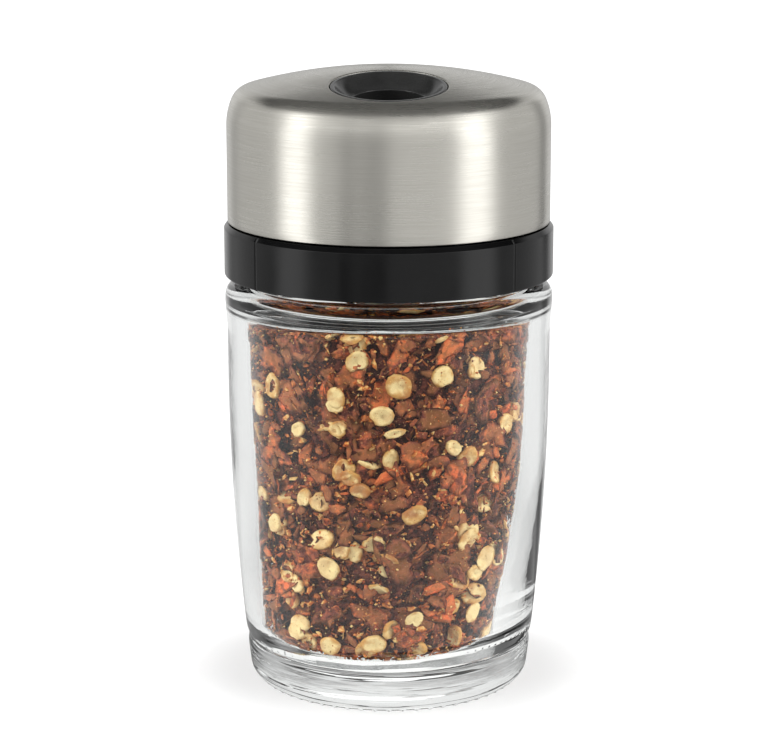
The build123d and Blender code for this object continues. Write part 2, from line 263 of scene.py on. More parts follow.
def turned_object(name: str, outline: Array, points: Array, finish: Material, closed_ends: bool) -> Piece:
    """Make an object from a turned grid.

    Args:
        name: Name of the object.
        outline: The outline that the grid came from. With closed ends it begins and ends on the axis.
        points: The grid's points by row and column.
        finish: Material of the piece.
        closed_ends: Whether the ends are poles on the axis, or else the last row meets the first.

    Returns:
        The object.
    """
    if not closed_ends:
        return build_object(name, points, [grid_faces(points.shape[0], points.shape[1], True)], finish)
    rows = points[1:-1]
    columns = rows.shape[1]
    poles = np.array([[0, 0, outline[0, 1]], [0, 0, outline[-1, 1]]])
    first_pole = rows.shape[0] * columns
    column = np.arange(columns)
    beside = (column + 1) % columns
    top = column + (rows.shape[0] - 1) * columns
    top_beside = beside + (rows.shape[0] - 1) * columns
    pole = np.full(columns, first_pole)
    fans = [np.stack([pole, beside, column], 1), np.stack([top, top_beside, pole + 1], 1)]
    joined = np.concatenate([rows.reshape(-1, 3), poles])
    return build_object(name, joined, [grid_faces(rows.shape[0], columns), *fans], finish)


def place(made: Piece, body: str, slot: str, *nodes: str) -> None:
    """Ride a piece on a body, hide the nodes that it stands for, and report it.

    Args:
        made: The piece.
        body: The body it moves with.
        slot: Not used.
        nodes: The nodes that it stands for.
    """
    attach(made, body)
    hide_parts(*nodes)
    log.info("%s: %d faces, rides on %s", made.name, len(made.data.polygons), body)


# Materials


@dataclass(frozen=True)
class Slope:
    """A smooth change from one value to another, while an input goes from its low to its high mark."""

    low: float
    high: float
    at_low: Any = 0.0
    at_high: Any = 1.0


class Nodes:
    """Short calls that fill a node tree."""

    def __init__(self, tree: Tree) -> None:
        """Take a tree and empty it."""
        self.tree = tree
        tree.nodes.clear()

    def fill(self, node: Node, inputs: dict[str | int, Any]) -> None:
        """Link or set a node's inputs. A colour is given without its alpha, which is 1.

        Args:
            node: The node.
            inputs: A value or an output socket for each named or numbered input.
        """
        for name, value in inputs.items():
            socket = node.inputs[name]
            if isinstance(value, Socket):
                self.tree.links.new(value, socket)
            else:
                socket.default_value = (*value, 1) if socket.type == "RGBA" else value

    def add(self, kind: str, inputs: dict[str | int, Any] | None = None, **settings: Any) -> Node:
        """Add a node.

        Args:
            kind: The node's type, without its usual ShaderNode in front.
            inputs: A value or an output socket for each named or numbered input.
            settings: The node's own properties.

        Returns:
            The node.
        """
        node = self.tree.nodes.new(kind if kind.startswith("Node") else "ShaderNode" + kind)
        for name, value in settings.items():
            setattr(node, name, value)
        self.fill(node, inputs or {})
        return node

    def math(self, operation: str, *values: Any) -> Socket:
        """The output of a Math node for these values or sockets."""
        return self.add("Math", dict(enumerate(values)), operation=operation).outputs[0]

    def plus(self, first: Any, second: Any) -> Socket:
        """The sum of two values or sockets."""
        return self.math("ADD", first, second)

    def times(self, first: Any, second: Any) -> Socket:
        """The product of two values or sockets."""
        return self.math("MULTIPLY", first, second)

    def larger(self, first: Any, second: Any) -> Socket:
        """The larger one of two values or sockets."""
        return self.math("MAXIMUM", first, second)

    def mix(self, factor: Any, first: Any, second: Any) -> Socket:
        """The output of a colour mix, whose colours are the inputs 6 and 7 and the output 2."""
        return self.add("Mix", {0: factor, 6: first, 7: second}, data_type="RGBA").outputs[2]

    def ease(self, value: Any, slope: Slope) -> Socket:
        """The output of a smooth Map Range node.

        Args:
            value: The input.
            slope: Its marks and the values at them.

        Returns:
            The output.
        """
        marks = {"From Min": slope.low, "From Max": slope.high}
        inputs = {"Value": value, **marks, "To Min": slope.at_low, "To Max": slope.at_high}
        return self.add("MapRange", inputs, interpolation_type="SMOOTHSTEP").outputs[0]

    def ramp(self, factor: Socket, stops: tuple[tuple[float, Colour], ...]) -> Socket:
        """The colour output of a ramp.

        Args:
            factor: What the ramp reads.
            stops: Position and colour of each stop, in order.

        Returns:
            The colour.
        """
        node = self.add("ValToRGB", {0: factor})
        elements = node.color_ramp.elements
        while len(elements) < len(stops):
            elements.new(0.5)
        for element, (position, colour) in zip(elements, stops):
            element.position = position
            element.color = (*colour, 1)
        return node.outputs["Color"]

    def where(self) -> Socket:
        """The place on the object."""
        return self.add("TexCoord").outputs["Object"]

    def attribute(self, name: str) -> Socket:
        """A number that the mesh keeps at its points."""
        return self.add("Attribute", attribute_name=name).outputs["Fac"]

    def parts(self, vector: Socket) -> Any:
        """The three parts of a vector."""
        return self.add("SeparateXYZ", {0: vector}).outputs

    def vector(self, *parts: Any) -> Socket:
        """A vector of up to three parts."""
        return self.add("CombineXYZ", dict(enumerate(parts))).outputs[0]

    def length(self, vector: Socket) -> Socket:
        """The length of a vector."""
        return self.add("VectorMath", {0: vector}, operation="LENGTH").outputs["Value"]

    def noise(self, vector: Socket, scale: Any, detail: float = 2.0) -> Socket:
        """The value of a Noise Texture."""
        return self.add("TexNoise", {"Vector": vector, "Scale": scale, "Detail": detail}).outputs[0]

    def bump(self, height: Socket, distance: float, strength: float) -> Socket:
        """The normal of a Bump node."""
        return self.add("Bump", {"Height": height, "Distance": distance, "Strength": strength}).outputs[0]

    def group(self, tree: Tree, inputs: dict[str, Any]) -> Any:
        """The outputs of a node group with these inputs."""
        return self.add("Group", inputs, node_tree=tree).outputs

    def join(self, kind: str, *parts: Any) -> Node:
        """Add a shader that joins others: its factor, if it has one, and the shaders."""
        sockets = [part.outputs[0] if isinstance(part, Node) else part for part in parts]
        return self.add(kind, dict(enumerate(sockets)))

    def show(self, shader: Node) -> None:
        """Put a shader on the surface."""
        self.add("OutputMaterial", {"Surface": shader.outputs[0]})

    def unbounced(self, path: Node) -> Socket:
        """One where light has met nothing dull on its way, and else zero."""
        bounces_below = 0.5
        return self.math("LESS_THAN", path.outputs["Diffuse Depth"], bounces_below)


def new_group(name: str, inputs: dict[str, float], outputs: list[str]) -> tuple[Nodes, Node, Node]:
    """Start a node group with number inputs and outputs.

    Args:
        name: Name of the group.
        inputs: Name and first value of each input.
        outputs: Names of the outputs.

    Returns:
        The group's nodes, its input node and its output node.
    """
    tree = bpy.data.node_groups.new(name, "ShaderNodeTree")
    for title, value in inputs.items():
        socket = tree.interface.new_socket(name=title, in_out="INPUT", socket_type="NodeSocketFloat")
        socket.default_value = value
    for title in outputs:
        tree.interface.new_socket(name=title, in_out="OUTPUT", socket_type="NodeSocketFloat")
    nodes = Nodes(tree)
    return nodes, nodes.add("NodeGroupInput"), nodes.add("NodeGroupOutput")


def new_material(name: str) -> tuple[Material, Nodes]:
    """Start a material.

    Args:
        name: Its name.

    Returns:
        The material and its nodes.
    """
    material = bpy.data.materials.new(name)
    material.use_nodes = True
    return material, Nodes(material.node_tree)


@dataclass
class Effects:
    """Node groups that several finishes share, each built once."""

    patch_low: float = 0.32
    patch_high: float = 0.68
    patch_detail: float = 4.0
    grain_ratio: float = 3.1
    grain_share: float = 0.5
    speck_edge: Slope = Slope(0.66, 0.74)
    line_detail: float = 3.0

    def __post_init__(self) -> None:
        """Build every group."""
        self.patches = self.build_patches()
        self.grain = self.build_grain()
        self.brushing = self.build_brushing()

    def cloud(self, nodes: Nodes, scale: float, low: float = 0.0, high: float = 1.0) -> Socket:
        """Place the patches in a material and give their value."""
        return nodes.group(self.patches, {"Scale": scale, "Low": low, "High": high})[0]

    def build_patches(self) -> Tree:
        """Soft cloudy patches between a low and a high value.

        Returns:
            The group.
        """
        nodes, given, out = new_group("soft_patches", {"Scale": 100, "Low": 0, "High": 1}, ["Value"])
        noise = nodes.noise(nodes.where(), given.outputs["Scale"], self.patch_detail)
        slope = Slope(self.patch_low, self.patch_high, given.outputs["Low"], given.outputs["High"])
        nodes.fill(out, {"Value": nodes.ease(noise, slope)})
        return nodes.tree

    def build_grain(self) -> Tree:
        """Fine moulded grain: a height made of two sizes of noise, and a mask of stray specks.

        Returns:
            The group.
        """
        nodes, given, out = new_group("fine_grain", {"Scale": 2000}, ["Height", "Specks"])
        where = nodes.where()
        scale = given.outputs["Scale"]
        fine = nodes.noise(where, nodes.times(scale, self.grain_ratio))
        height = nodes.plus(nodes.noise(where, scale), nodes.times(fine, self.grain_share))
        nodes.fill(out, {"Height": height, "Specks": nodes.ease(fine, self.speck_edge)})
        return nodes.tree

    def build_brushing(self) -> Tree:
        """Brush lines round the axis: noise that is fine along the profile and slow round the turn.

        The noise is read at the direction from the axis times the length of a line, and at the height
        and the radius times the fineness.

        Returns:
            The group.
        """
        nodes, given, out = new_group("brush_lines", {"Fineness": 9000, "Length": 2.0}, ["Lines"])
        fineness = given.outputs["Fineness"]
        parts = nodes.parts(nodes.where())
        flat = nodes.vector(parts[0], parts[1])
        across = nodes.times(nodes.length(flat), fineness)
        facing = nodes.add("VectorMath", {0: flat}, operation="NORMALIZE").outputs[0]
        turned = nodes.add("VectorMath", {0: facing, "Scale": given.outputs["Length"]}, operation="SCALE")
        sides = nodes.parts(turned.outputs[0])
        vector = nodes.vector(sides[0], sides[1], nodes.times(parts[2], fineness))
        inputs = {"Vector": vector, "W": across, "Scale": 1.0, "Detail": self.line_detail}
        nodes.fill(out, {"Lines": nodes.add("TexNoise", inputs, noise_dimensions="4D").outputs[0]})
        return nodes.tree


@dataclass(frozen=True)
class ClearGlass:
    """Fire-polished pressed glass with faint waves, and uneven flow low in its base.

    It casts its shadow as a clear skin, so that the lamps reach what it holds.
    """

    tint: Colour = (0.975, 0.99, 0.98)
    shadow_tint: Colour = (0.9, 0.92, 0.91)
    ior: float = 1.5
    wave_scale: float = 90.0
    wave_depth: float = 0.00001
    flow_across: float = 45.0
    flow_up: float = 900.0
    flow_share: float = 11.0
    flow_height: Slope = Slope(0.012, 0.0048)

    def build(self, effects: Effects) -> Material:
        """Make the material.

        Args:
            effects: The shared effects.

        Returns:
            The material.
        """
        material, nodes = new_material("clear_glass_finish")
        across, back, up = nodes.parts(nodes.where())
        flat = [nodes.times(part, self.flow_across) for part in (across, back)]
        flow = nodes.noise(nodes.vector(*flat, nodes.times(up, self.flow_up)), 1.0)
        low = nodes.ease(up, self.flow_height)
        waves = effects.cloud(nodes, self.wave_scale)
        height = nodes.math("MULTIPLY_ADD", nodes.times(flow, low), self.flow_share, waves)
        glass = nodes.add(
            "BsdfPrincipled",
            {
                "Base Color": self.tint,
                "Roughness": 0.0,
                "IOR": self.ior,
                "Transmission Weight": 1.0,
                "Normal": nodes.bump(height, self.wave_depth, 1.0),
            },
        )
        clear = nodes.add("BsdfTransparent", {"Color": self.shadow_tint})
        path = nodes.add("LightPath")
        nodes.show(nodes.join("MixShader", path.outputs["Is Shadow Ray"], glass, clear))
        return material


@dataclass(frozen=True)
class BrushedSteel:
    """Stainless steel with brush lines round the axis."""

    name: str
    base: Colour = (0.75, 0.731, 0.672)
    dull: Colour = (0.685, 0.665, 0.605)
    roughness: float = 0.29
    rougher: float = 0.06
    smoother: float = 0.04
    spread: float = 0.65
    spread_turn: float = 0.25
    fineness: float = 9000.0
    line_length: float = 3.0
    line_depth: float = 0.000008
    line_strength: float = 0.5
    shade: Slope = Slope(0.3, 0.72)
    rough_low: float = 0.25
    rough_high: float = 0.75
    smudge_scale: float = 70.0
    smudge: float = 0.03

    def build(self, effects: Effects) -> Material:
        """Make the material.

        Args:
            effects: The shared effects.

        Returns:
            The material.
        """
        material, nodes = new_material(self.name)
        brush = nodes.group(effects.brushing, {"Fineness": self.fineness, "Length": self.line_length})
        lines = brush["Lines"]
        smudge = effects.cloud(nodes, self.smudge_scale, -self.smudge, self.smudge)
        dull_end = self.roughness + self.rougher
        bright_end = self.roughness - self.smoother
        rough = nodes.ease(lines, Slope(self.rough_low, self.rough_high, dull_end, bright_end))
        inputs = {
            "Base Color": nodes.mix(nodes.ease(lines, self.shade), self.dull, self.base),
            "Roughness": nodes.plus(rough, smudge),
            "Metallic": 1.0,
            "Anisotropic": self.spread,
            "Anisotropic Rotation": self.spread_turn,
            "Normal": nodes.bump(lines, self.line_depth, self.line_strength),
            "Tangent": nodes.add("Tangent", direction_type="RADIAL", axis="Z").outputs[0],
        }
        nodes.show(nodes.add("BsdfPrincipled", inputs))
        return material


@dataclass(frozen=True)
class MouldedPlastic:
    """Black moulded plastic with a fine grain and faint cloudy wear."""

    name: str
    base: Colour = (0.0015, 0.0015, 0.0016)
    worn: Colour = (0.003, 0.003, 0.0031)
    shine: float = 0.35
    roughness: float = 0.18
    wear: float = 0.06
    wear_scale: float = 160.0
    dust_share: float = 0.2
    grain_scale: float = 2600.0
    grain_depth: float = 0.000004
    grain_strength: float = 0.6

    def build(self, effects: Effects) -> Material:
        """Make the material.

        Args:
            effects: The shared effects.

        Returns:
            The material.
        """
        material, nodes = new_material(self.name)
        cloud = effects.cloud(nodes, self.wear_scale)
        grain = nodes.group(effects.grain, {"Scale": self.grain_scale})
        rough = nodes.ease(cloud, Slope(0.0, 1.0, self.roughness, self.roughness + self.wear))
        inputs = {
            "Base Color": nodes.mix(cloud, self.base, self.worn),
            "Roughness": nodes.plus(rough, nodes.times(grain["Specks"], self.dust_share)),
            "Specular IOR Level": self.shine,
            "Normal": nodes.bump(grain["Height"], self.grain_depth, self.grain_strength),
        }
        nodes.show(nodes.add("BsdfPrincipled", inputs))
        return material


@dataclass(frozen=True)
class SoftSeal:
    """Milky silicone with a soft sheen."""

    base: Colour = (0.62, 0.61, 0.57)
    shade: Colour = (0.52, 0.51, 0.47)
    shade_scale: float = 300.0
    grain_scale: float = 1800.0
    grain_depth: float = 0.00001
    grain_strength: float = 0.5
    roughness: Slope = Slope(0.0, 1.0, 0.42, 0.55)
    milk: float = 0.2
    milk_reach: tuple[float, float, float] = (0.0012, 0.001, 0.0008)

    def build(self, effects: Effects) -> Material:
        """Make the material.

        Args:
            effects: The shared effects.

        Returns:
            The material.
        """
        material, nodes = new_material("soft_seal_finish")
        cloud = effects.cloud(nodes, self.shade_scale)
        grain = nodes.group(effects.grain, {"Scale": self.grain_scale})
        inputs = {
            "Base Color": nodes.mix(cloud, self.base, self.shade),
            "Roughness": nodes.ease(cloud, self.roughness),
            "Subsurface Weight": self.milk,
            "Subsurface Radius": self.milk_reach,
            "Subsurface Scale": 1.0,
            "Normal": nodes.bump(grain["Height"], self.grain_depth, self.grain_strength),
        }
        nodes.show(nodes.add("BsdfPrincipled", inputs))
        return material


@dataclass(frozen=True)
class ChilliSkin:
    """Dried chilli: waxy skin on one side, paler flesh on the other, wrinkled and mottled.

    Each piece's own tone, from 0 to 1, is read along a ramp of colours.
    """

    name: str
    stops: tuple[tuple[float, Colour], ...]
    flesh: Colour = (0.52, 0.21, 0.075)
    flesh_share: float = 0.4
    flesh_rough: float = 0.25
    speck: Colour = (0.85, 0.5, 0.2)
    speck_share: float = 0.8
    roughness: float = 0.42
    shine: float = 0.08
    mottle: float = 0.3
    mottle_ratio: float = 0.7
    uneven: float = 0.9
    uneven_middle: float = 0.68
    wrinkle_scale: float = 1500.0
    wrinkle_depth: float = 0.00012
    wrinkle_strength: float = 0.8

    def build(self, effects: Effects) -> Material:
        """Make the material.

        Args:
            effects: The shared effects.

        Returns:
            The material.
        """
        material, nodes = new_material(self.name)
        inner = nodes.attribute("inner")
        mottle = effects.cloud(nodes, self.wrinkle_scale * self.mottle_ratio, -self.mottle, self.mottle)
        grain = nodes.group(effects.grain, {"Scale": self.wrinkle_scale})
        # The tone also follows the wrinkles' height: darker in their hollows, lighter on their ridges.
        uneven = nodes.math("MULTIPLY_ADD", grain["Height"], self.uneven, -self.uneven_middle)
        tone = nodes.plus(nodes.plus(nodes.attribute("tone"), mottle), uneven)
        colour = nodes.mix(nodes.times(inner, self.flesh_share), nodes.ramp(tone, self.stops), self.flesh)
        inputs = {
            "Base Color": nodes.mix(nodes.times(grain["Specks"], self.speck_share), colour, self.speck),
            "Roughness": nodes.plus(self.roughness, nodes.times(inner, self.flesh_rough)),
            "Specular IOR Level": self.shine,
            "Normal": nodes.bump(grain["Height"], self.wrinkle_depth, self.wrinkle_strength),
        }
        nodes.show(nodes.add("BsdfPrincipled", inputs))
        return material


@dataclass(frozen=True)
class SeedCoat:
    """Pale flat chilli seed: straw middle, tan rim that is partly painted shade, pits and a little red dust.
    """

    pale: Colour = (0.86, 0.66, 0.33)
    tan: Colour = (0.6, 0.31, 0.09)
    pit: Colour = (0.3, 0.1, 0.035)
    stain: Colour = (0.42, 0.13, 0.04)
    rim_tan_share_with_painted_shade: float = 0.7
    rim_edge: Slope = Slope(0.1, 0.95)
    cloud_scale: float = 900.0
    cloud: float = 0.3
    stain_scale: float = 420.0
    stain_low: float = -0.5
    stain_edge: Slope = Slope(0.2, 1.0)
    stain_tone: Slope = Slope(0.0, 0.4, 0.25, 0.75)
    pit_scale: float = 1500.0
    pit_share: float = 0.8
    pit_depth: float = 0.00006
    pit_strength: float = 0.7
    smoothest: float = 0.48
    roughest: float = 0.62
    shine: float = 0.2

    def build(self, effects: Effects) -> Material:
        """Make the material.

        Args:
            effects: The shared effects.

        Returns:
            The material.
        """
        material, nodes = new_material("seed_coat_finish")
        tone = nodes.attribute("tone")
        cloud = effects.cloud(nodes, self.cloud_scale, -self.cloud, self.cloud)
        grain = nodes.group(effects.grain, {"Scale": self.pit_scale})
        stain = nodes.ease(effects.cloud(nodes, self.stain_scale, self.stain_low), self.stain_edge)
        # Towards the rim the seed turns tan, partly its own colour and partly painted shade on the rolled
        # edge.
        edge = nodes.plus(nodes.times(nodes.attribute("rim"), self.rim_tan_share_with_painted_shade), nodes.plus(cloud, tone))
        body = nodes.mix(nodes.ease(edge, self.rim_edge), self.pale, self.tan)
        body = nodes.mix(nodes.times(stain, nodes.ease(tone, self.stain_tone)), body, self.stain)
        inputs = {
            "Base Color": nodes.mix(nodes.times(grain["Specks"], self.pit_share), body, self.pit),
            "Roughness": nodes.ease(cloud, Slope(-self.cloud, self.cloud, self.smoothest, self.roughest)),
            "Specular IOR Level": self.shine,
            "Normal": nodes.bump(grain["Height"], self.pit_depth, self.pit_strength),
        }
        nodes.show(nodes.add("BsdfPrincipled", inputs))
        return material


# Sub-assemblies


@dataclass
class GlassJar:
    """The thick glass jar: recessed foot on nubs, drawn-in side, bead, shoulder and threaded neck.

    The fields that end in round are the rounding radii of its corners.
    """

    columns: int = 480
    foot_recess: float = 0.8
    recess_radius: float = 14.67
    recess_round: float = 0.6
    foot_inner: float = 16.27
    foot_round: float = 0.3
    base_radius: float = 21.37
    heel_round: float = 2.5
    heel_centre: float = 19.17
    body_radius: float = 24.65
    side_top: float = 50.0
    side_steps: int = 15
    straight_top: float = 55.5
    bead_radius: float = 24.95
    bead_bottom: float = 59.5
    bead_round: float = 3.0
    shoulder: float = 62.3
    shoulder_round: float = 2.0
    neck_radius: float = 21.5
    neck_round: float = 0.5
    neck_margin: float = 0.9
    neck_rows: int = 30
    neck_top: float = 69.4
    neck_bore: float = 18.6
    rim_round: float = 0.7
    bore_round: float = 0.4
    bore_end: float = 2.0
    bore_start: float = 3.0
    thread_depth: float = 1.2
    thread_start: float = 63.8
    thread_turns: float = 1.2
    nub_radius: float = 0.55
    nub_ring: float = 20.02
    nub_count: int = 60
    nub_reach: float = 0.66
    nub_rows: int = 13
    nub_clear: float = 0.1
    cavity_radius: float = 21.65
    cavity_top: float = 58.8
    cavity_shoulder: float = 62.0
    cavity_round: float = 2.2
    cavity_floor_radius: float = 17.9
    cavity_floor: float = 5.0
    floor_round: float = 5.8
    ripple_depth: float = 0.02
    ripple_length: float = 16.0
    ripple_waves: int = 14
    ripple_seed: int = 5
    ripple_margin: float = 1.0
    waist_height: float = 6.7
    waist_width: float = 0.9
    waist_depth: float = 0.3
    waist_rows: int = 19
    lean_top: float = 34.0
    lean_slope: float = 0.05
    lean_onset: float = 6.0
    support: float = 0.12

    def lean(self, height: Array) -> Array:
        """How far the cavity's lower part stands off centre, towards -X: slope * b^2 / (b + onset).

        Args:
            height: Heights of points of the cavity; b is how far each is below the lean's top.

        Returns:
            The shift along X of each point.
        """
        below = np.maximum(self.lean_top - height, 0)
        return -self.lean_slope * below**2 / (below + self.lean_onset)

    def outside(self) -> Array:
        """The outline from the middle of the foot up the outside to the rim.

        Returns:
            Radius and height of each point.
        """
        side = drawn_in_arc((self.body_radius, self.side_top), (self.base_radius, 0), self.side_steps)
        neck = np.linspace(self.shoulder + self.neck_margin, self.neck_top - self.neck_margin, self.neck_rows)
        corners = [
            (0, self.foot_recess, 0),
            (self.recess_radius / 2, self.foot_recess, 0),
            (self.recess_radius, self.foot_recess, self.recess_round),
            (self.foot_inner, 0, self.foot_round),
            (self.base_radius, 0, self.heel_round),
            *[(radius, height, 0) for radius, height in side[2:]],
            (self.body_radius, self.straight_top, self.bead_round),
            (self.bead_radius, self.bead_bottom, self.bead_round),
            (self.bead_radius, self.shoulder, self.shoulder_round),
            (self.neck_radius, self.shoulder, self.neck_round),
            *[(self.neck_radius, height, 0) for height in neck],
            (self.neck_radius, self.neck_top, self.rim_round),
            (self.neck_bore, self.neck_top, self.bore_round),
            (self.neck_bore, self.neck_top - self.bore_end, 0),
        ]
        return rounded_outline(corners, 6, self.support)

    def inside(self) -> Array:
        """The cavity's outline from the bore down to the middle of its floor.

        Returns:
            Radius and height of each point.
        """
        top = (self.cavity_radius, self.cavity_top)
        floor = (self.cavity_floor_radius, self.cavity_floor)
        side = drawn_in_arc(top, floor, self.side_steps)
        corners = [
            (self.neck_bore, self.neck_top - self.bore_start, 0),
            (self.neck_bore, self.cavity_shoulder, self.cavity_round),
            (*top, self.cavity_round),
            *[(radius, height, 0) for radius, height in side[-2:2:-1]],
            (*floor, self.floor_round),
            (self.cavity_floor_radius / 2, self.cavity_floor, 0),
            (0, self.cavity_floor, 0),
        ]
        return rounded_outline(corners, 7, self.support)

    def waist(self, outline: Array) -> Array:
        """Press a faint ring into the side above the heel.

        The radius is less by depth * exp(-((z - height) / width)^2), within four widths of its height.

        Args:
            outline: The outside's outline.

        Returns:
            The outline with the ring, on rows of its own.
        """
        reach = 4 * self.waist_width
        height = np.linspace(self.waist_height - reach, self.waist_height + reach, self.waist_rows)
        side = (outline[:, 0] > self.foot_inner + self.heel_round) & (outline[:, 1] < self.side_top)
        beside = side & (np.abs(outline[:, 1] - self.waist_height) < reach)
        radius = np.interp(height, outline[side, 1], outline[side, 0])
        radius -= self.waist_depth * np.exp(-(((height - self.waist_height) / self.waist_width) ** 2))
        last = np.flatnonzero(side & (outline[:, 1] <= self.waist_height - reach))[-1] + 1
        rest = outline[last:][~beside[last:]]
        return np.concatenate([outline[:last], np.stack([radius, height], 1), rest])

    def fine_heel(self, outline: Array) -> Array:
        """Add rows where the nubs stand, evenly spaced in radius along the heel: z = R - sqrt(R^2 - d^2).

        Args:
            outline: The outside's outline; d is the distance from the centre of the heel's rounding.

        Returns:
            The outline with the extra rows.
        """
        centre = self.heel_centre
        across = (outline[:, 0] > centre) & (outline[:, 0] < self.base_radius)
        heel = across & (outline[:, 1] < self.heel_round)
        first, last = np.flatnonzero(heel)[[0, -1]]
        radius = np.linspace(self.nub_ring - self.nub_reach, self.nub_ring + self.nub_reach, self.nub_rows)
        height = self.heel_round - np.sqrt(self.heel_round**2 - (radius - centre) ** 2)
        kept = outline[first : last + 1]
        kept = kept[np.abs(kept[:, 0] - self.nub_ring) > self.nub_reach + self.nub_clear]
        merged = np.concatenate([kept, np.stack([radius, height], 1)])
        merged = merged[np.argsort(merged[:, 1])]
        return np.concatenate([outline[:first], merged, outline[last + 1 :]])

    def nubs(self, points: Array) -> Array:
        """Lower the heel to the underside of a small ball at each nub: z = R - sqrt(R^2 - d^2).

        Args:
            points: The jar's points; d is their distance from the nearest nub's middle in plan.

        Returns:
            The points with the nubs.
        """
        pitch = TURN / self.nub_count
        nearest = np.round(np.arctan2(points[..., 1], points[..., 0]) / pitch) * pitch
        away_x = points[..., 0] - self.nub_ring * np.cos(nearest)
        away_y = points[..., 1] - self.nub_ring * np.sin(nearest)
        away = np.minimum(np.hypot(away_x, away_y) / self.nub_radius, 1)
        ball = self.nub_radius * (1 - np.sqrt(1 - away**2))
        under = (away < 1) & (points[..., 2] < self.nub_radius)
        points[..., 2] = np.where(under, np.minimum(points[..., 2], ball), points[..., 2])
        return points

    def thread(self, points: Array) -> Array:
        """Raise the thread on the neck's wall by its depth times the ridge's rise.

        Args:
            points: The jar's points.

        Returns:
            The points with the thread.
        """
        radius = np.hypot(points[..., 0], points[..., 1])
        above = points[..., 2] > self.shoulder + self.neck_round
        neck = above & (np.abs(radius - self.neck_radius) < TOUCH)
        rise = thread_rise(points, self.thread_start, self.thread_turns)
        outward = np.where(neck, rise * self.thread_depth, 0) / self.neck_radius
        points[..., :2] *= 1 + outward[..., None]
        return points

    def uneven_cavity(self, points: Array, rows: Array) -> Array:
        """Give the cavity's wall its faint ripple, and lean its lower part.

        Args:
            points: The jar's points by row and column.
            rows: Which rows are the cavity's.

        Returns:
            The changed points.
        """
        bottom = self.cavity_floor + self.ripple_margin
        top = self.neck_top - self.bore_start - self.ripple_margin
        wall = rows[:, None] & (points[..., 2] > bottom) & (points[..., 2] < top)
        waves = ripple(points, self.ripple_waves, self.ripple_seed, self.ripple_length)
        outward = np.where(wall, waves * self.ripple_depth / self.cavity_radius, 0)
        points[..., :2] *= 1 + outward[..., None]
        points[..., 0] += np.where(rows[:, None], self.lean(points[..., 2]), 0)
        return points

    def build(self, finish: Material) -> None:
        """Make the jar as one closed shell and place it.

        Args:
            finish: The glass.
        """
        outside = self.fine_heel(self.waist(self.outside()))
        outline = np.concatenate([outside, self.inside()])
        points = self.thread(lathe_points(outline, even_angles(self.columns)))
        points = self.uneven_cavity(points, np.arange(len(outline)) >= len(outside))
        made = turned_object("glass_jar_body", outline, self.nubs(points), finish, closed_ends=True)
        place(made, "jar", "clear_glass", "glass_jar")


class Bit(Enum):
    """Kinds of loose bit in the jar."""

    SKIN = "skin"
    PIECE = "piece"
    SHRED = "shred"
    SEED = "seed"


@dataclass(frozen=True)
class Habit:
    """How many bits of a kind there are, and how they lie and vary.

    A random share to the power of the crowding takes a bit that part of the reach further in, and adds
    that part of the lean to its tilt's spread. Its length, its width as a share of that, and its
    thickness lie between two ends, and the length's share has a power of its own.
    """

    count: int
    crowding: float
    reach: float
    lean: float
    length: tuple[float, float]
    width: tuple[float, float]
    thickness: tuple[float, float]
    length_power: float = 1.0


HABITS = {
    Bit.SKIN: Habit(700, 1.3, 1.6, 0.6, (1.7, 4.4), (0.45, 0.85), (0.12, 0.26), 1.4),
    Bit.PIECE: Habit(1600, 1.0, 1.5, 0.8, (0.7, 1.9), (0.3, 0.85), (0.12, 0.3)),
    Bit.SHRED: Habit(4340, 1.0, 1.3, 1.2, (0.25, 0.95), (0.2, 0.8), (0.1, 0.25)),
    Bit.SEED: Habit(235, 1.5, 1.3, 0.8, (1.45, 2.05), (0.8, 0.97), (0.55, 0.9)),
}


@dataclass(frozen=True)
class Chosen:
    """A seed or a skin that lies on the glass at a chosen place in front.

    Its place is millimetres right of the middle and up from the foot, its sizes are half lengths, its
    spin is degrees from level, and a skin's tone is the one that its finish reads.
    """

    right: float
    up: float
    length: float
    width: float
    spin: float
    tone: float = 0.5


@dataclass
class Scatter:
    """Places, directions and sizes of many bits of one kind."""

    place: Array
    outward: Array
    upward: Array
    length: Array
    width: Array
    thickness: Array
    tilt: Array
    spin: Array

    def axes(self) -> tuple[Array, Array, Array]:
        """The three directions of each bit: along, across and through.

        The bit lies against the wall, is turned by its spin about the wall's normal, and is then
        tipped by its tilt about its own length.

        Returns:
            Three arrays of unit vectors.
        """
        sideways = np.cross(self.outward, self.upward)
        spin = self.spin[:, None]
        tilt = self.tilt[:, None]
        along = sideways * np.cos(spin) + self.upward * np.sin(spin)
        flat = self.upward * np.cos(spin) - sideways * np.sin(spin)
        across = flat * np.cos(tilt) + self.outward * np.sin(tilt)
        return along, across, np.cross(along, across)


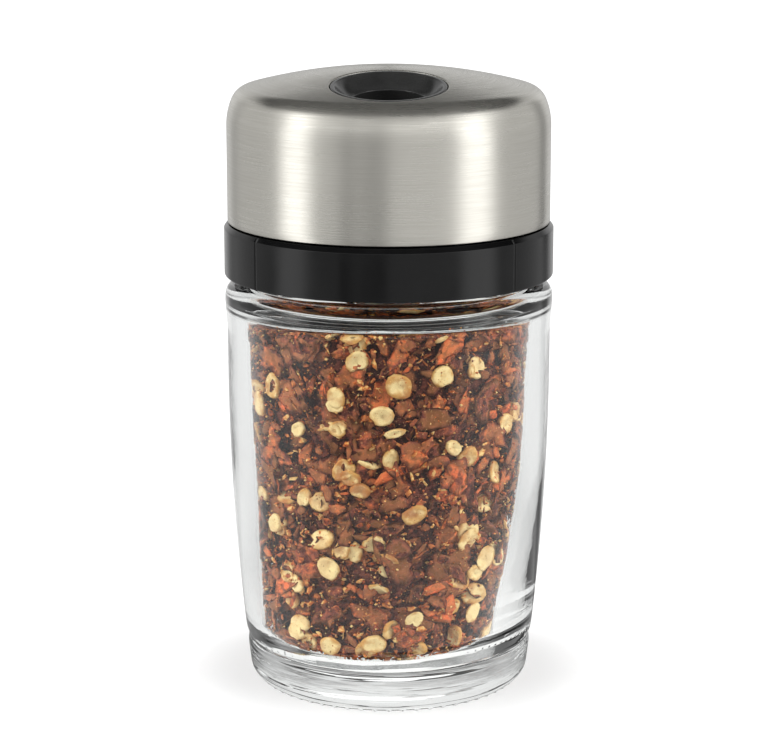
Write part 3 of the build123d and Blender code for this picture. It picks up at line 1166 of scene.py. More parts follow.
@dataclass
class ChilliFill:
    """The loose filling: skins, pieces, shreds, seeds and dust against the glass, over a heap of one dark
    tone, which is partly painted shade for the filling further in.

    Fields with two values are the low and the high end of a random draw.
    """

    jar: GlassJar
    chosen: dict[Bit, tuple[Chosen, ...]]
    gap: float = 0.3
    crown: float = 1.0
    crown_round: float = 0.8
    sag_middle: float = 0.3
    sag_left: float = 1.9
    sag_right: float = 0.9
    sag_power: float = 2.5
    first_depth: float = 0.12
    chosen_depth: float = 0.3
    chosen_tilt: float = 0.06
    push: float = 1.1
    push_reach: float = 0.7
    wave_two: float = 0.16
    wave_three: float = 0.14
    tear: tuple[float, float] = (0.72, 1.12)
    curl: float = 0.16
    twist: float = 0.1
    crease: float = 0.14
    rim_thinning: float = 0.55
    turned_share: float = 0.4
    notch: tuple[float, float] = (0.05, 1.0)
    notch_depth: float = 0.75
    notch_width: tuple[float, float] = (0.3, 0.7)
    chosen_notch: float = 0.2
    seed_wave: float = 0.07
    seed_edge: float = 0.03
    seed_dish: float = 0.08
    chosen_dish: float = 0.3
    seed_dimple: float = 0.06
    seed_tone: tuple[float, float] = (-0.15, 0.45)
    specks: int = 11000
    speck_size: float = 0.07
    speck_growth: float = 0.22
    speck_uneven: tuple[float, float] = (0.5, 1.2)
    speck_tone: tuple[float, float] = (0.2, 1)
    crumbs: int = 420
    crumb_bottom: float = -0.4
    crumb_rise: float = 1.2
    crumb_size: float = 0.06
    crumb_growth: float = 0.12
    crumb_uneven: tuple[float, float] = (0.5, 1.1)
    crumb_tone: tuple[float, float] = (0.1, 0.7)
    heap_depth: float = 1.8
    heap_columns: int = 160
    heap_pole: float = 0.5
    heap_waves: int = 24
    heap_seed: int = 8
    heap_wave: float = 4.0
    heap_lumps: float = 0.014
    heap_tone_with_painted_shade: float = 0.1
    skin_tone: tuple[float, float, float] = (0.12, 0.78, 1.7)
    piece_tone: tuple[float, float, float] = (0.1, 0.85, 1.4)
    draw: np.random.Generator = field(default_factory=lambda: np.random.default_rng(11))

    def limit(self) -> Array:
        """The outline that the filling keeps inside, from the middle of the floor to the top's middle.

        Returns:
            Radius and height of each point, a small gap inside the glass.
        """
        jar = self.jar
        floor = jar.cavity_floor + self.gap
        radius = jar.cavity_radius - self.gap
        low_radius = jar.cavity_floor_radius - self.gap
        side = drawn_in_arc((radius, jar.cavity_top), (low_radius, floor), jar.side_steps)
        corners = [
            (0, floor, 0),
            (low_radius, floor, jar.floor_round - self.gap),
            *[(out, up, 0) for out, up in side[3:-1]],
            (radius, jar.cavity_top, self.crown_round),
            (0, jar.cavity_top + self.crown, 0),
        ]
        return rounded_outline(corners, 8, 0.1)

    def wall(self, height: Array) -> Array:
        """Radius of the limit's side at some heights.

        Args:
            height: The heights.

        Returns:
            The radii.
        """
        line = self.limit()
        rising = line[: np.argmax(line[:, 0]) + 1]
        return np.interp(height, rising[:, 1], rising[:, 0])

    def sag(self, points: Array) -> Array:
        """How far the top lies below its middle at some points, growing towards both sides.

        Args:
            points: Points of the filling.

        Returns:
            The fall: one value at the middle, plus each side's own times the radius's share to a power.
        """
        share = np.minimum(1, np.abs(points[..., 0]) / self.jar.cavity_radius)
        side = np.where(points[..., 0] < 0, self.sag_left, self.sag_right)
        return self.sag_middle + side * share**self.sag_power

    def surface(self, count: int) -> tuple[Array, Array, Array]:
        """Random places on the limit, evenly spread over its area.

        Args:
            count: Number of places.

        Returns:
            Places, outward directions and directions up along the wall.
        """
        line = self.limit()
        steps = np.diff(line, axis=0)
        lengths = np.linalg.norm(steps, axis=1)
        areas = lengths * (line[1:, 0] + line[:-1, 0]) / 2
        chosen = self.draw.choice(len(steps), count, p=areas / areas.sum())
        share = self.draw.uniform(0, 1, count)[:, None]
        spot = line[chosen] + steps[chosen] * share
        slope = steps[chosen] / lengths[chosen, None]
        return self.stand(spot, slope, self.draw.uniform(0, TURN, count))

    @staticmethod
    def stand(spot: Array, slope: Array, angle: Array) -> tuple[Array, Array, Array]:
        """Turn places on the outline out to their angles round the axis.

        Args:
            spot: Radius and height of each place.
            slope: Direction of the outline at each place.
            angle: Angle of each place.

        Returns:
            Places, outward directions and directions up along the wall.
        """
        ring = np.stack([np.cos(angle), np.sin(angle)], 1)
        turned = np.concatenate([spot[:, :1] * ring, spot[:, 1:]], 1)
        outward = np.concatenate([slope[:, 1:] * ring, -slope[:, :1]], 1)
        upward = np.concatenate([slope[:, :1] * ring, slope[:, 1:]], 1)
        return turned, outward, upward

    def hold_in(self, points: Array) -> Array:
        """Press points that stand outside the limit back onto it, radially and from below.

        Args:
            points: Points of the filling.

        Returns:
            The points inside the limit, with the lean of the jar's cavity.
        """
        line = self.limit()
        crown = line[np.argmax(line[:, 0]) :][::-1]
        floor = line[0, 1]
        least = 1e-6
        radius = np.hypot(points[..., 0], points[..., 1])
        top = np.interp(radius, crown[:, 0], crown[:, 1]) - self.sag(points)
        points[..., 2] = np.clip(points[..., 2], floor, np.maximum(top, floor))
        inward = np.minimum(1, self.wall(points[..., 2]) / np.maximum(radius, least))
        points[..., :2] *= inward[..., None]
        points[..., 0] += self.jar.lean(points[..., 2])
        return points

    def scatter(self, kind: Bit) -> Scatter:
        """Draw places, tilts and sizes for one kind of bit.

        Args:
            kind: The kind.

        Returns:
            The scatter.
        """
        draw = self.draw
        habit = HABITS[kind]
        count = habit.count
        spot, outward, upward = self.surface(count)
        deep = draw.uniform(0, 1, count) ** habit.crowding
        depth = self.first_depth + deep * habit.reach
        tilt = draw.normal(0, 1, count) * (self.first_depth + deep * habit.lean)
        shortest, longest = habit.length
        length = shortest + (longest - shortest) * draw.uniform(0, 1, count) ** habit.length_power
        width = length * draw.uniform(*habit.width, count)
        thickness = draw.uniform(*habit.thickness, count)
        spin = draw.uniform(0, TURN, count)
        made = Scatter(spot - outward * depth[:, None], outward, upward, length, width, thickness, tilt, spin)
        for index, bit in enumerate(self.chosen.get(kind, ())):
            self.lay_chosen(made, index, bit)
        return made

    def lay_chosen(self, made: Scatter, index: int, bit: Chosen) -> None:
        """Put a chosen bit in place of a random one, flat against the glass.

        Args:
            made: The scatter to change.
            index: Which of its bits to replace.
            bit: The chosen one.
        """
        step = 0.5
        wall = float(self.wall(bit.up))
        slope = np.array([[float(self.wall(bit.up + step)) - wall, step]])
        slope /= np.linalg.norm(slope)
        angle = np.array([math.asin(bit.right / wall) - TURN / 4])
        spot, outward, upward = self.stand(np.array([[wall, bit.up]]), slope, angle)
        made.place[index] = (spot - outward * self.chosen_depth)[0]
        made.outward[index] = outward[0]
        made.upward[index] = upward[0]
        made.length[index] = bit.length
        made.width[index] = bit.width
        made.tilt[index] = self.chosen_tilt
        made.spin[index] = -math.radians(bit.spin)

    def clear_fronts(self, moved: Scatter, kept: Scatter) -> None:
        """Push bits deeper where they would stick through the chosen seeds, which lie on the glass.

        Args:
            moved: The bits to push.
            kept: The seeds to keep clear.
        """
        shallow = kept.place[: len(self.chosen[Bit.SEED])]
        reach = float(kept.width.mean())
        apart = np.linalg.norm(moved.place[:, None] - shallow[None], axis=2).min(1)
        share = smooth_step((reach + moved.width * self.push_reach - apart) / reach + 0.5)
        moved.place -= moved.outward * (self.push * share)[:, None]

    @staticmethod
    def dress(made: Piece, **shades: Array) -> None:
        """Keep a piece's shades for its finish, one number for each point, and place it in the jar.

        Args:
            made: The piece.
            shades: The numbers, under the names that the finish reads.
        """
        for name, values in shades.items():
            attribute = made.data.attributes.new(name, "FLOAT", "POINT")
            attribute.data.foreach_set("value", values.astype(np.float32).ravel())
        place(made, "jar", "dried_chilli", "chilli_fill")

    def flakes(self, name: str, places: Scatter, sides: int, finish: Material, tone: Array) -> None:
        """Make torn, curled flakes as closed thin shells.

        A flake's outline is an ellipse whose radius is changed by two waves and a random tear at each
        corner. Its height over its own plane is a curl along and across, a twist, and a random crease
        at each point, and its two faces stand half a thickness to each side, closer at the rim.

        Args:
            name: Name of the piece.
            places: Where the flakes lie.
            sides: Corners of a flake's outline.
            finish: Their material.
            tone: A tone from 0 to 1 for each flake.
        """
        draw = self.draw
        count = len(places.length)
        angle = even_angles(sides)[None]
        phase = draw.uniform(0, TURN, (count, 2, 1))
        oval = self.wave_two * np.cos(2 * angle + phase[:, 0])
        corner = self.wave_three * np.cos(3 * angle + phase[:, 1])
        radius = (1 + oval + corner) * draw.uniform(*self.tear, (count, sides))
        rings = np.array([0.03, 0.6, 1.0, 0.6, 0.03])[None, :, None]
        face = np.array([1, 1, 0, -1, -1])[None, :, None]
        along, across = self.spread(places, rings * radius[:, None], angle)
        curl = draw.normal(0, self.curl, (count, 2, 1, 1))
        twist = draw.normal(0, self.twist, (count, 1, 1))
        crease = draw.normal(0, self.crease, (count, 3, sides))[:, [0, 1, 2, 1, 0]]
        crease = crease * rings * places.width[:, None, None]
        bend = curl[:, 0] * along**2 + curl[:, 1] * across**2 + twist * along * across + crease
        thick = places.thickness[:, None, None] / 2 * (1 - self.rim_thinning * rings**2)
        points = self.laid(places, along, across, bend + face * thick)
        turned = (draw.uniform(0, 1, count) < self.turned_share)[:, None, None]
        tones = np.broadcast_to(tone[:, None, None], along.shape)
        inner = np.broadcast_to(face < 0, along.shape) ^ turned
        self.dress(self.shells(name, points, finish), tone=tones, inner=inner)

    @staticmethod
    def spread(places: Scatter, reach: Array, angle: Array) -> tuple[Array, Array]:
        """Spread each bit's rings over its own plane: reach * cos a * length, reach * sin a * width.

        Args:
            places: The bits, with their sizes.
            reach: Share of the bit's size at each point.
            angle: Angle a of each corner.

        Returns:
            How far each point lies along and across the bit.
        """
        along = reach * np.cos(angle) * places.length[:, None, None]
        return along, reach * np.sin(angle) * places.width[:, None, None]

    def laid(self, places: Scatter, along: Array, across: Array, through: Array) -> Array:
        """Carry points from each bit's own plane to its place, held inside the glass.

        Args:
            places: Where the bits lie.
            along: How far each point is along its bit.
            across: How far across.
            through: How far above its plane.

        Returns:
            The points.
        """
        points = places.place[:, None, None]
        for share, axis in zip((along, across, through), places.axes()):
            points = points + share[..., None] * axis[:, None, None]
        return self.hold_in(points)

    @staticmethod
    def shells(name: str, points: Array, finish: Material) -> Piece:
        """Make one object of many closed shells, each a short tube with small capped ends.

        Args:
            name: Name of the piece.
            points: Points by shell, row and column.
            finish: Its material.

        Returns:
            The object.
        """
        count, rows, sides = points.shape[:3]
        start = (np.arange(count) * rows * sides)[:, None, None]
        quads = (grid_faces(rows, sides)[None, :, ::-1] + start).reshape(-1, 4)
        ring = np.arange(sides)[None]
        first = ring + start[:, 0]
        last = ring[:, ::-1] + start[:, 0] + (rows - 1) * sides
        return build_object(name, points, [quads, first, last], finish)

    def seed_shells(self, places: Scatter, finish: Material) -> None:
        """Make flat seeds with a raised rim and a notch.

        The outline is a circle with a notch, 1 - n exp(-(a / w)^2), and the half thickness rises from
        the middle to the rim's roll and closes at the edge. A few seeds are bent like a dish.

        Args:
            places: Where the seeds lie.
            finish: Their material.
        """
        draw = self.draw
        count = len(places.length)
        sides = 14
        chosen = len(self.chosen[Bit.SEED])
        angle = (even_angles(sides) - math.pi)[None]
        notch = draw.uniform(*self.notch, (count, 1)) ** 2 * self.notch_depth
        notch[:chosen] = self.chosen_notch
        radius = 1 - notch * np.exp(-((angle / draw.uniform(*self.notch_width, (count, 1))) ** 2))
        radius = radius * (1 + self.seed_wave * np.cos(2 * angle + draw.uniform(0, TURN, (count, 1))))
        radius = radius * (1 + draw.normal(0, self.seed_edge, (count, sides)))
        rings = np.array([0.03, 0.45, 0.7, 0.9, 1.0, 0.9, 0.7, 0.45, 0.03])[None, :, None]
        height = np.array([0.3, 0.4, 0.8, 0.7, 0.0, -0.7, -0.8, -0.4, -0.3])[None, :, None]
        along, across = self.spread(places, rings * radius[:, None], angle)
        dish = np.abs(draw.normal(0, self.seed_dish, (count, 1, 1))) * draw.choice([-1, 1], (count, 1, 1))
        dish[:chosen] *= self.chosen_dish
        dimple = draw.normal(0, self.seed_dimple, (count, rings.shape[1], sides)) * (rings < 0.95)
        through = height * places.thickness[:, None, None] / 2 + dish * (along**2 + across**2) + dimple
        made = self.shells("chilli_seeds", self.laid(places, along, across, through), finish)
        tone = np.broadcast_to(draw.uniform(*self.seed_tone, (count, 1, 1)), along.shape)
        self.dress(made, rim=np.broadcast_to(rings**3, along.shape), tone=tone)

    @staticmethod
    def lumps(spot: Array, reach: Array) -> Array:
        """Corners of small uneven lumps with eight faces.

        Args:
            spot: The middle of each lump.
            reach: How far its corners stand off: by lump, side (plus and minus) and axis.

        Returns:
            Six points for each lump.
        """
        corners = np.concatenate([np.eye(3), -np.eye(3)])
        return spot[:, None] + corners * reach.reshape(-1, 6, 1)

    def lay_lumps(self, name: str, points: Array, tone: Array, finish: Material) -> None:
        """Make one piece of many lumps and place it.

        Args:
            name: Name of the piece.
            points: Six points for each lump.
            tone: A tone from 0 to 1 for each lump.
            finish: Its material.
        """
        upper = [[0, 1, 2], [1, 3, 2], [3, 4, 2], [4, 0, 2]]
        lower = [[1, 0, 5], [3, 1, 5], [4, 3, 5], [0, 4, 5]]
        starts = (np.arange(len(points)) * 6)[:, None, None]
        faces = (np.array(upper + lower) + starts).reshape(-1, 3)
        made = build_object(name, points, [faces], finish)
        self.dress(made, tone=np.repeat(tone, 6), inner=np.zeros(len(points) * 6))

    def dust(self, finish: Material) -> None:
        """Make dust on the inside of the glass.

        Args:
            finish: Its material.
        """
        draw = self.draw
        spot, outward, _ = self.surface(self.specks)
        size = self.speck_size + self.speck_growth * draw.uniform(0, 1, self.specks) ** 3
        uneven = draw.uniform(*self.speck_uneven, (self.specks, 3, 2)).swapaxes(1, 2)
        points = self.lumps(spot - outward * size[:, None], uneven * size[:, None, None])
        tone = draw.uniform(*self.speck_tone, self.specks)
        self.lay_lumps("chilli_dust", self.hold_in(points), tone, finish)

    def shoulder_crumbs(self, finish: Material) -> None:
        """Make crumbs that cling to the inside of the glass just above the filling.

        Args:
            finish: Their material.
        """
        draw = self.draw
        count = self.crumbs
        inside = self.jar.inside()
        bottom = self.jar.cavity_top + self.crumb_bottom
        height = bottom + self.crumb_rise * draw.uniform(0, 1, count) ** 2
        size = self.crumb_size + self.crumb_growth * draw.uniform(0, 1, count) ** 2
        angle = draw.uniform(0, TURN, count)
        reach = np.interp(-height, -inside[:, 1], inside[:, 0]) - size * 1.3 - 0.05
        spot = np.stack([reach * np.cos(angle), reach * np.sin(angle), height], 1)
        spot[:, 2] -= self.sag(spot)
        points = self.lumps(spot, draw.uniform(*self.crumb_uneven, (count, 2, 3)) * size[:, None, None])
        self.lay_lumps("chilli_crumbs", points, draw.uniform(*self.crumb_tone, count), finish)

    def heap(self, finish: Material) -> None:
        """Make the heap under the bits: the limit drawn inwards, with random lumps, in one dark tone that is
        partly painted shade.

        Args:
            finish: Its material.
        """
        line = self.limit()
        slopes = np.gradient(line, axis=0)
        slopes /= np.linalg.norm(slopes, axis=1)[:, None]
        outline = line + np.stack([-slopes[:, 1], slopes[:, 0]], 1) * self.heap_depth
        outline[:, 0] = np.maximum(outline[:, 0], 0)
        ends = np.arange(len(outline)) % (len(outline) - 1) == 0
        outline = outline[ends | (outline[:, 0] > self.heap_pole)]
        points = lathe_points(outline, even_angles(self.heap_columns))
        lumps = ripple(points, self.heap_waves, self.heap_seed, self.heap_wave) * self.heap_lumps
        points[..., :2] *= 1 + lumps[..., None]
        points[..., 0] += self.jar.lean(points[..., 2])
        made = turned_object("chilli_heap", outline, points, finish, closed_ends=True)
        count = len(made.data.vertices)
        # The heap's one dark tone is partly the chilli's colour and partly painted shade between the bits.
        self.dress(made, tone=np.full(count, self.heap_tone_with_painted_shade), inner=np.zeros(count))

    def tones(self, kind: Bit, darkest: float, spread: float, power: float) -> Array:
        """Draw a tone for each bit of a kind: darkest + spread * u^power, with the chosen ones' own.

        Args:
            kind: The kind.
            darkest: The darkest tone.
            spread: From the darkest to the lightest tone.
            power: Power of the random share u.

        Returns:
            The tones.
        """
        drawn = darkest + spread * self.draw.uniform(0, 1, HABITS[kind].count) ** power
        own = [bit.tone for bit in self.chosen.get(kind, ())]
        drawn[: len(own)] = own
        return drawn

    def build(self, dark: Material, red: Material, coat: Material) -> None:
        """Make all the filling.

        Args:
            dark: Finish of skins, pieces and the heap.
            red: Finish of shreds, dust and crumbs, brighter.
            coat: Finish of the seeds.
        """
        self.heap(dark)
        seeds = self.scatter(Bit.SEED)
        skins, pieces, shreds = [self.scatter(kind) for kind in (Bit.SKIN, Bit.PIECE, Bit.SHRED)]
        for moved in (skins, pieces, shreds):
            self.clear_fronts(moved, seeds)
        self.flakes("chilli_skins", skins, 12, dark, self.tones(Bit.SKIN, *self.skin_tone))
        self.flakes("chilli_pieces", pieces, 8, dark, self.tones(Bit.PIECE, *self.piece_tone))
        self.flakes("chilli_shreds", shreds, 5, red, self.tones(Bit.SHRED, 0, 1, 1))
        self.seed_shells(seeds, coat)
        self.dust(red)
        self.shoulder_crumbs(red)


@dataclass
class Collar:
    """The screw collar: four grooves in its face, a bevelled top edge and a thread inside."""

    radius: float = 25.0
    bore: float = 23.0
    bottom: float = 63.6
    bevel_bottom: float = 70.75
    bevel_radius: float = 24.45
    top: float = 71.45
    deck_bottom: float = 70.4
    deck_hole: float = 19.9
    edge_round: float = 0.25
    groove_angle: float = 49.5
    groove_shift: float = -2.0
    groove_width: float = 0.24
    groove_depth: float = 0.35
    groove_flank: float = 0.06
    thread_reach: float = 1.2
    thread_start: float = 65.4
    thread_turns: float = 1.0
    lead_in: float = 0.4
    lead_round: float = 0.2
    bevel_round: float = 0.12
    inner_round: float = 0.1
    columns: int = 288
    bore_rows: int = 40

    def outline(self) -> Array:
        """The collar's section as a closed outline.

        Returns:
            Radius and height of each point.
        """
        top = self.deck_bottom - 2 * self.inner_round
        inside = np.linspace(top, self.bottom + self.lead_in + self.inner_round, self.bore_rows)
        corners = [
            (self.bore + self.lead_in, self.bottom, 0),
            (self.radius, self.bottom, self.edge_round),
            (self.radius, self.bevel_bottom, self.edge_round),
            (self.bevel_radius, self.top, self.bevel_round),
            (self.deck_hole, self.top, self.inner_round),
            (self.deck_hole, self.deck_bottom, self.inner_round),
            (self.bore, self.deck_bottom, self.inner_round),
            *[(self.bore, height, 0) for height in inside],
            (self.bore, self.bottom, self.lead_round),
            (self.bore + self.lead_in, self.bottom, 0),
        ]
        return rounded_outline(corners, 5, 0.1)[:-1]

    def grooves(self) -> Array:
        """Angles of the four grooves, two to each side of the front and two of the back."""
        sides = (-self.groove_angle, self.groove_angle)
        return np.radians([facing + side + self.groove_shift for facing in (-90, 90) for side in sides])

    def angles(self) -> Array:
        """Even angles with extra ones at the grooves' edges.

        Returns:
            The angles in order.
        """
        half = self.groove_width / 2 / self.radius
        offsets = np.array([-3, -1.15, -1, -0.5, 0, 0.5, 1, 1.15, 3]) * half
        middles = self.grooves()
        extra = (middles[:, None] + offsets).ravel() % TURN
        even = even_angles(self.columns)
        return np.sort(np.concatenate([even[self.groove_distance(even) > 3.5 * half], extra]))

    def groove_distance(self, angles: Array) -> Array:
        """How far each angle is from the nearest groove's middle."""
        return np.abs(np.angle(np.exp(1j * (angles[:, None] - self.grooves())))).min(1)

    def build(self, finish: Material) -> None:
        """Make the collar and place it.

        A groove lowers the face by its full depth within its half width, from the bottom edge up to
        the bevel.

        Args:
            finish: Its plastic.
        """
        outline = self.outline()
        angles = self.angles()
        points = lathe_points(outline, angles)
        away = self.groove_distance(angles) * self.radius
        flank = self.groove_width * self.groove_flank
        cut = smooth_step((self.groove_width / 2 + flank - away) / flank)
        on_face = outline[:, 0] > self.radius - self.edge_round * 0.8
        face = on_face & (outline[:, 1] < self.bevel_bottom + self.edge_round)
        inward = face[:, None] * cut[None] * self.groove_depth / self.radius
        bore = np.abs(outline[:, 0] - self.bore) < TOUCH
        rise = thread_rise(points, self.thread_start, self.thread_turns)
        inward = inward + bore[:, None] * rise * self.thread_reach / self.bore
        points[..., :2] *= (1 - inward)[..., None]
        made = turned_object("collar_body", outline, points, finish, closed_ends=False)
        place(made, "collar", "black_gloss", "collar_ring")


@dataclass
class Head:
    """The turning head's steel shell: a low dome, a tight shoulder, a soft side arc and a wall."""

    radius: float = 24.45
    bottom: float = 71.7
    top: float = 94.78
    thickness: float = 0.5
    dome_radius: float = 83.8
    shoulder_arc: float = 3.15
    side_arc: float = 10.1
    split: float = 66.7
    hole_offset: float = 12.4
    hole_radius: float = 8.7
    hole_round: float = 0.2
    outer_hem: float = 0.12
    inner_hem: float = 0.1
    columns: int = 320
    outer_rings: int = 34
    inner_rings: int = 20
    arc_steps: int = 16
    wall_rows: int = 10
    crowding: float = 1.15

    @property
    def dome_centre(self) -> float:
        """Height of the dome's centre."""
        return self.top - self.dome_radius

    @property
    def tilt(self) -> float:
        """Tilt of the hole's axis towards the front."""
        return math.asin(self.hole_offset / self.dome_radius)

    def hole_frame(self) -> tuple[Array, Array, Array]:
        """The place and the directions of the tilted hole.

        Returns:
            The dome's centre, the direction across the hole to the back, and the one along its axis.
        """
        centre = np.array([0, 0, self.dome_centre])
        back = np.array([0, math.cos(self.tilt), math.sin(self.tilt)])
        axis = np.array([0, -math.sin(self.tilt), math.cos(self.tilt)])
        return centre, back, axis

    def wall(self, inset: float) -> Array:
        """The outline from the dome's edge down to the bottom, drawn in by an inset.

        Three arcs follow on, each starting in the direction in which the last one ends: the dome, the
        shoulder and the side. Only the last two and the straight wall are given here.

        Args:
            inset: How far inside the outer surface it lies.

        Returns:
            Radius and height of each point, from the dome's edge.
        """
        split = math.radians(self.split)
        reach = self.shoulder_arc * math.sin(split) + self.side_arc * (1 - math.sin(split))
        edge = math.asin((self.radius - reach) / (self.dome_radius - self.shoulder_arc))
        start = np.array([[math.sin(edge), math.cos(edge)]]) * (self.dome_radius - inset)
        rows = [start + [0, self.dome_centre]]
        for size, first, last in (
            (self.shoulder_arc - inset, edge, split),
            (self.side_arc - inset, split, TURN / 4),
        ):
            turn = np.linspace(first, last, self.arc_steps + 1)[1:, None]
            circle = np.concatenate([np.sin(turn), np.cos(turn)], 1)
            rows.append(rows[-1][-1] + size * (circle - [math.sin(first), math.cos(first)]))
        straight = np.linspace(rows[-1][-1, 1], self.bottom, self.wall_rows)[1:]
        rows.append(np.stack([np.full(len(straight), rows[-1][-1, 0]), straight], 1))
        return np.concatenate(rows)

    def dome(self, inset: float, angles: Array, start: float, steps: int) -> Array:
        """Rings on the dome from round the hole out to the dome's edge.

        A ring's points lie between the hole's circle and the edge's circle in plan, by the ring's
        share of the way to a power, and their height is on the dome's ball: z = c + sqrt(R^2 - x^2 - y^2).

        Args:
            inset: How far inside the outer surface it lies.
            angles: Angles of the columns.
            start: Radius of the first ring round the hole's axis.
            steps: Number of rings.

        Returns:
            Points by ring and column.
        """
        centre, back, axis = self.hole_frame()
        ball = self.dome_radius - inset
        across = np.array([1, 0, 0]) * np.cos(angles)[:, None] + back * np.sin(angles)[:, None]
        ring = centre + across * start + axis * math.sqrt(ball**2 - start**2)
        edge = self.wall(inset)[0, 0]
        outer = np.stack([np.cos(angles), np.sin(angles)], 1) * edge
        share = np.linspace(0, 1, steps + 1)[:-1, None, None] ** self.crowding
        plan = ring[None, :, :2] * (1 - share) + outer[None] * share
        height = self.dome_centre + np.sqrt(ball**2 - (plan**2).sum(-1))
        return np.concatenate([plan, height[..., None]], -1)

    def hole_edge(self, angles: Array) -> Array:
        """Rings down the hole's edge: a quarter round of the outer edge, then the cut wall.

        Args:
            angles: Angles of the columns.

        Returns:
            Points by ring and column, from the inside up to the dome.
        """
        centre, back, axis = self.hole_frame()
        rounding = self.hole_round
        turn = np.radians([0, 20, 40, 60, 78])
        out = self.hole_radius + rounding * (1 - np.cos(turn))
        level = math.sqrt(self.dome_radius**2 - (self.hole_radius + rounding) ** 2)
        up = level - rounding * (1 - np.sin(turn))
        inner = math.sqrt((self.dome_radius - self.thickness) ** 2 - self.hole_radius**2)
        out = np.concatenate([[self.hole_radius], out])
        up = np.concatenate([[inner + rounding / 5], up])
        across = np.array([1, 0, 0]) * np.cos(angles)[:, None] + back * np.sin(angles)[:, None]
        return centre + across[None] * out[:, None, None] + axis * up[:, None, None]

    def build(self, finish: Material) -> None:
        """Make the shell as one closed skin and place it.

        Args:
            finish: Its steel.
        """
        angles = even_angles(self.columns)
        outer_wall = self.wall(0.0)
        inner_wall = self.wall(self.thickness)[::-1]
        outer_wall[-1, 1] += self.outer_hem
        inner_edge = self.radius - self.thickness + self.inner_hem
        hem = np.array([[self.radius - self.outer_hem, self.bottom], [inner_edge, self.bottom]])
        outer_start = self.hole_radius + self.hole_round * 1.2
        inner_start = self.hole_radius + self.hole_round / 4
        rings = [
            self.hole_edge(angles),
            self.dome(0.0, angles, outer_start, self.outer_rings),
            lathe_points(np.concatenate([outer_wall, hem, inner_wall[1:]]), angles),
            self.dome(self.thickness, angles, inner_start, self.inner_rings)[::-1],
        ]
        points = np.concatenate(rings)
        faces = grid_faces(points.shape[0], points.shape[1], True)[:, ::-1]
        made = build_object("head_shell", points, [faces], finish)
        place(made, "head", "brushed_steel", "steel_shell")


@dataclass
class Funnel:
    """The dished pour funnel: a flat rim, a bowl and a throat down to the plate."""

    head: Head
    rim_gap: float = 0.12
    rim_level: float = -0.503
    land: float = 0.62
    lip_round: float = 0.22
    depth: float = 1.8
    throat: float = 5.15
    wall: float = 1.1
    flange: float = 0.9
    bowl_wall: float = 0.9
    sag: float = 0.55
    foot: float = 86.65
    below: float = 30.0
    throat_start: float = 1.5
    throat_edge: float = 0.1
    throat_round: float = 0.3
    flange_round: float = 0.1
    columns: int = 160

    def outline(self) -> Array:
        """The funnel's section, square to the hole's axis, as a closed outline.

        The dish goes straight from the throat to the lip, less 4 s (1 - s) times its sag.

        Returns:
            Radius and height of each point.
        """
        rim = self.head.hole_radius - self.rim_gap
        bowl = rim - self.land
        level = self.rim_level
        floor = level - self.depth
        share = np.linspace(0, 1, 9)[1:-1]
        arch = 4 * share * (1 - share) * self.sag
        dish = [
            (self.throat + (bowl - self.throat) * part, floor + (level - floor) * part - drop, 0.0)
            for part, drop in zip(share, arch)
        ]
        corners = [
            (self.throat, -self.below, 0),
            (self.throat, floor - self.throat_start, 0),
            (self.throat, floor - self.throat_edge, self.throat_round),
            *dish,
            (bowl, level, self.lip_round),
            (rim, level, self.lip_round),
            (rim, level - self.flange, self.flange_round),
            (self.throat + self.wall, floor - self.bowl_wall, self.throat_round),
            (self.throat + self.wall, -self.below, 0),
        ]
        return rounded_outline(corners, 6, 0.06)

    def build(self, finish: Material) -> None:
        """Make the funnel on its tilted axis, cut level at the plate, and place it.

        Args:
            finish: Its plastic.
        """
        centre, back, axis = self.head.hole_frame()
        origin = centre + axis * self.head.dome_radius
        angles = even_angles(self.columns)
        outline = self.outline()
        points = lathe_points(outline, angles)
        sideways = np.array([1.0, 0, 0])
        placed = origin + points[..., :1] * sideways + points[..., 1:2] * back + points[..., 2:] * axis
        cut = self.foot - placed[..., 2]
        lower = outline[:, 1] < self.throat_edge - self.below
        placed = placed + (lower[:, None] * cut / axis[2])[..., None] * axis
        made = turned_object("funnel_body", outline, placed, finish, closed_ends=False)
        place(made, "head", "black_funnel", "pour_funnel")


# Studio


@dataclass(frozen=True)
class Softbox:
    """One soft source in the studio's reflections: an azimuth from the front, a half width and a level."""

    azimuth: float
    half_width: float
    softness: float
    level: float


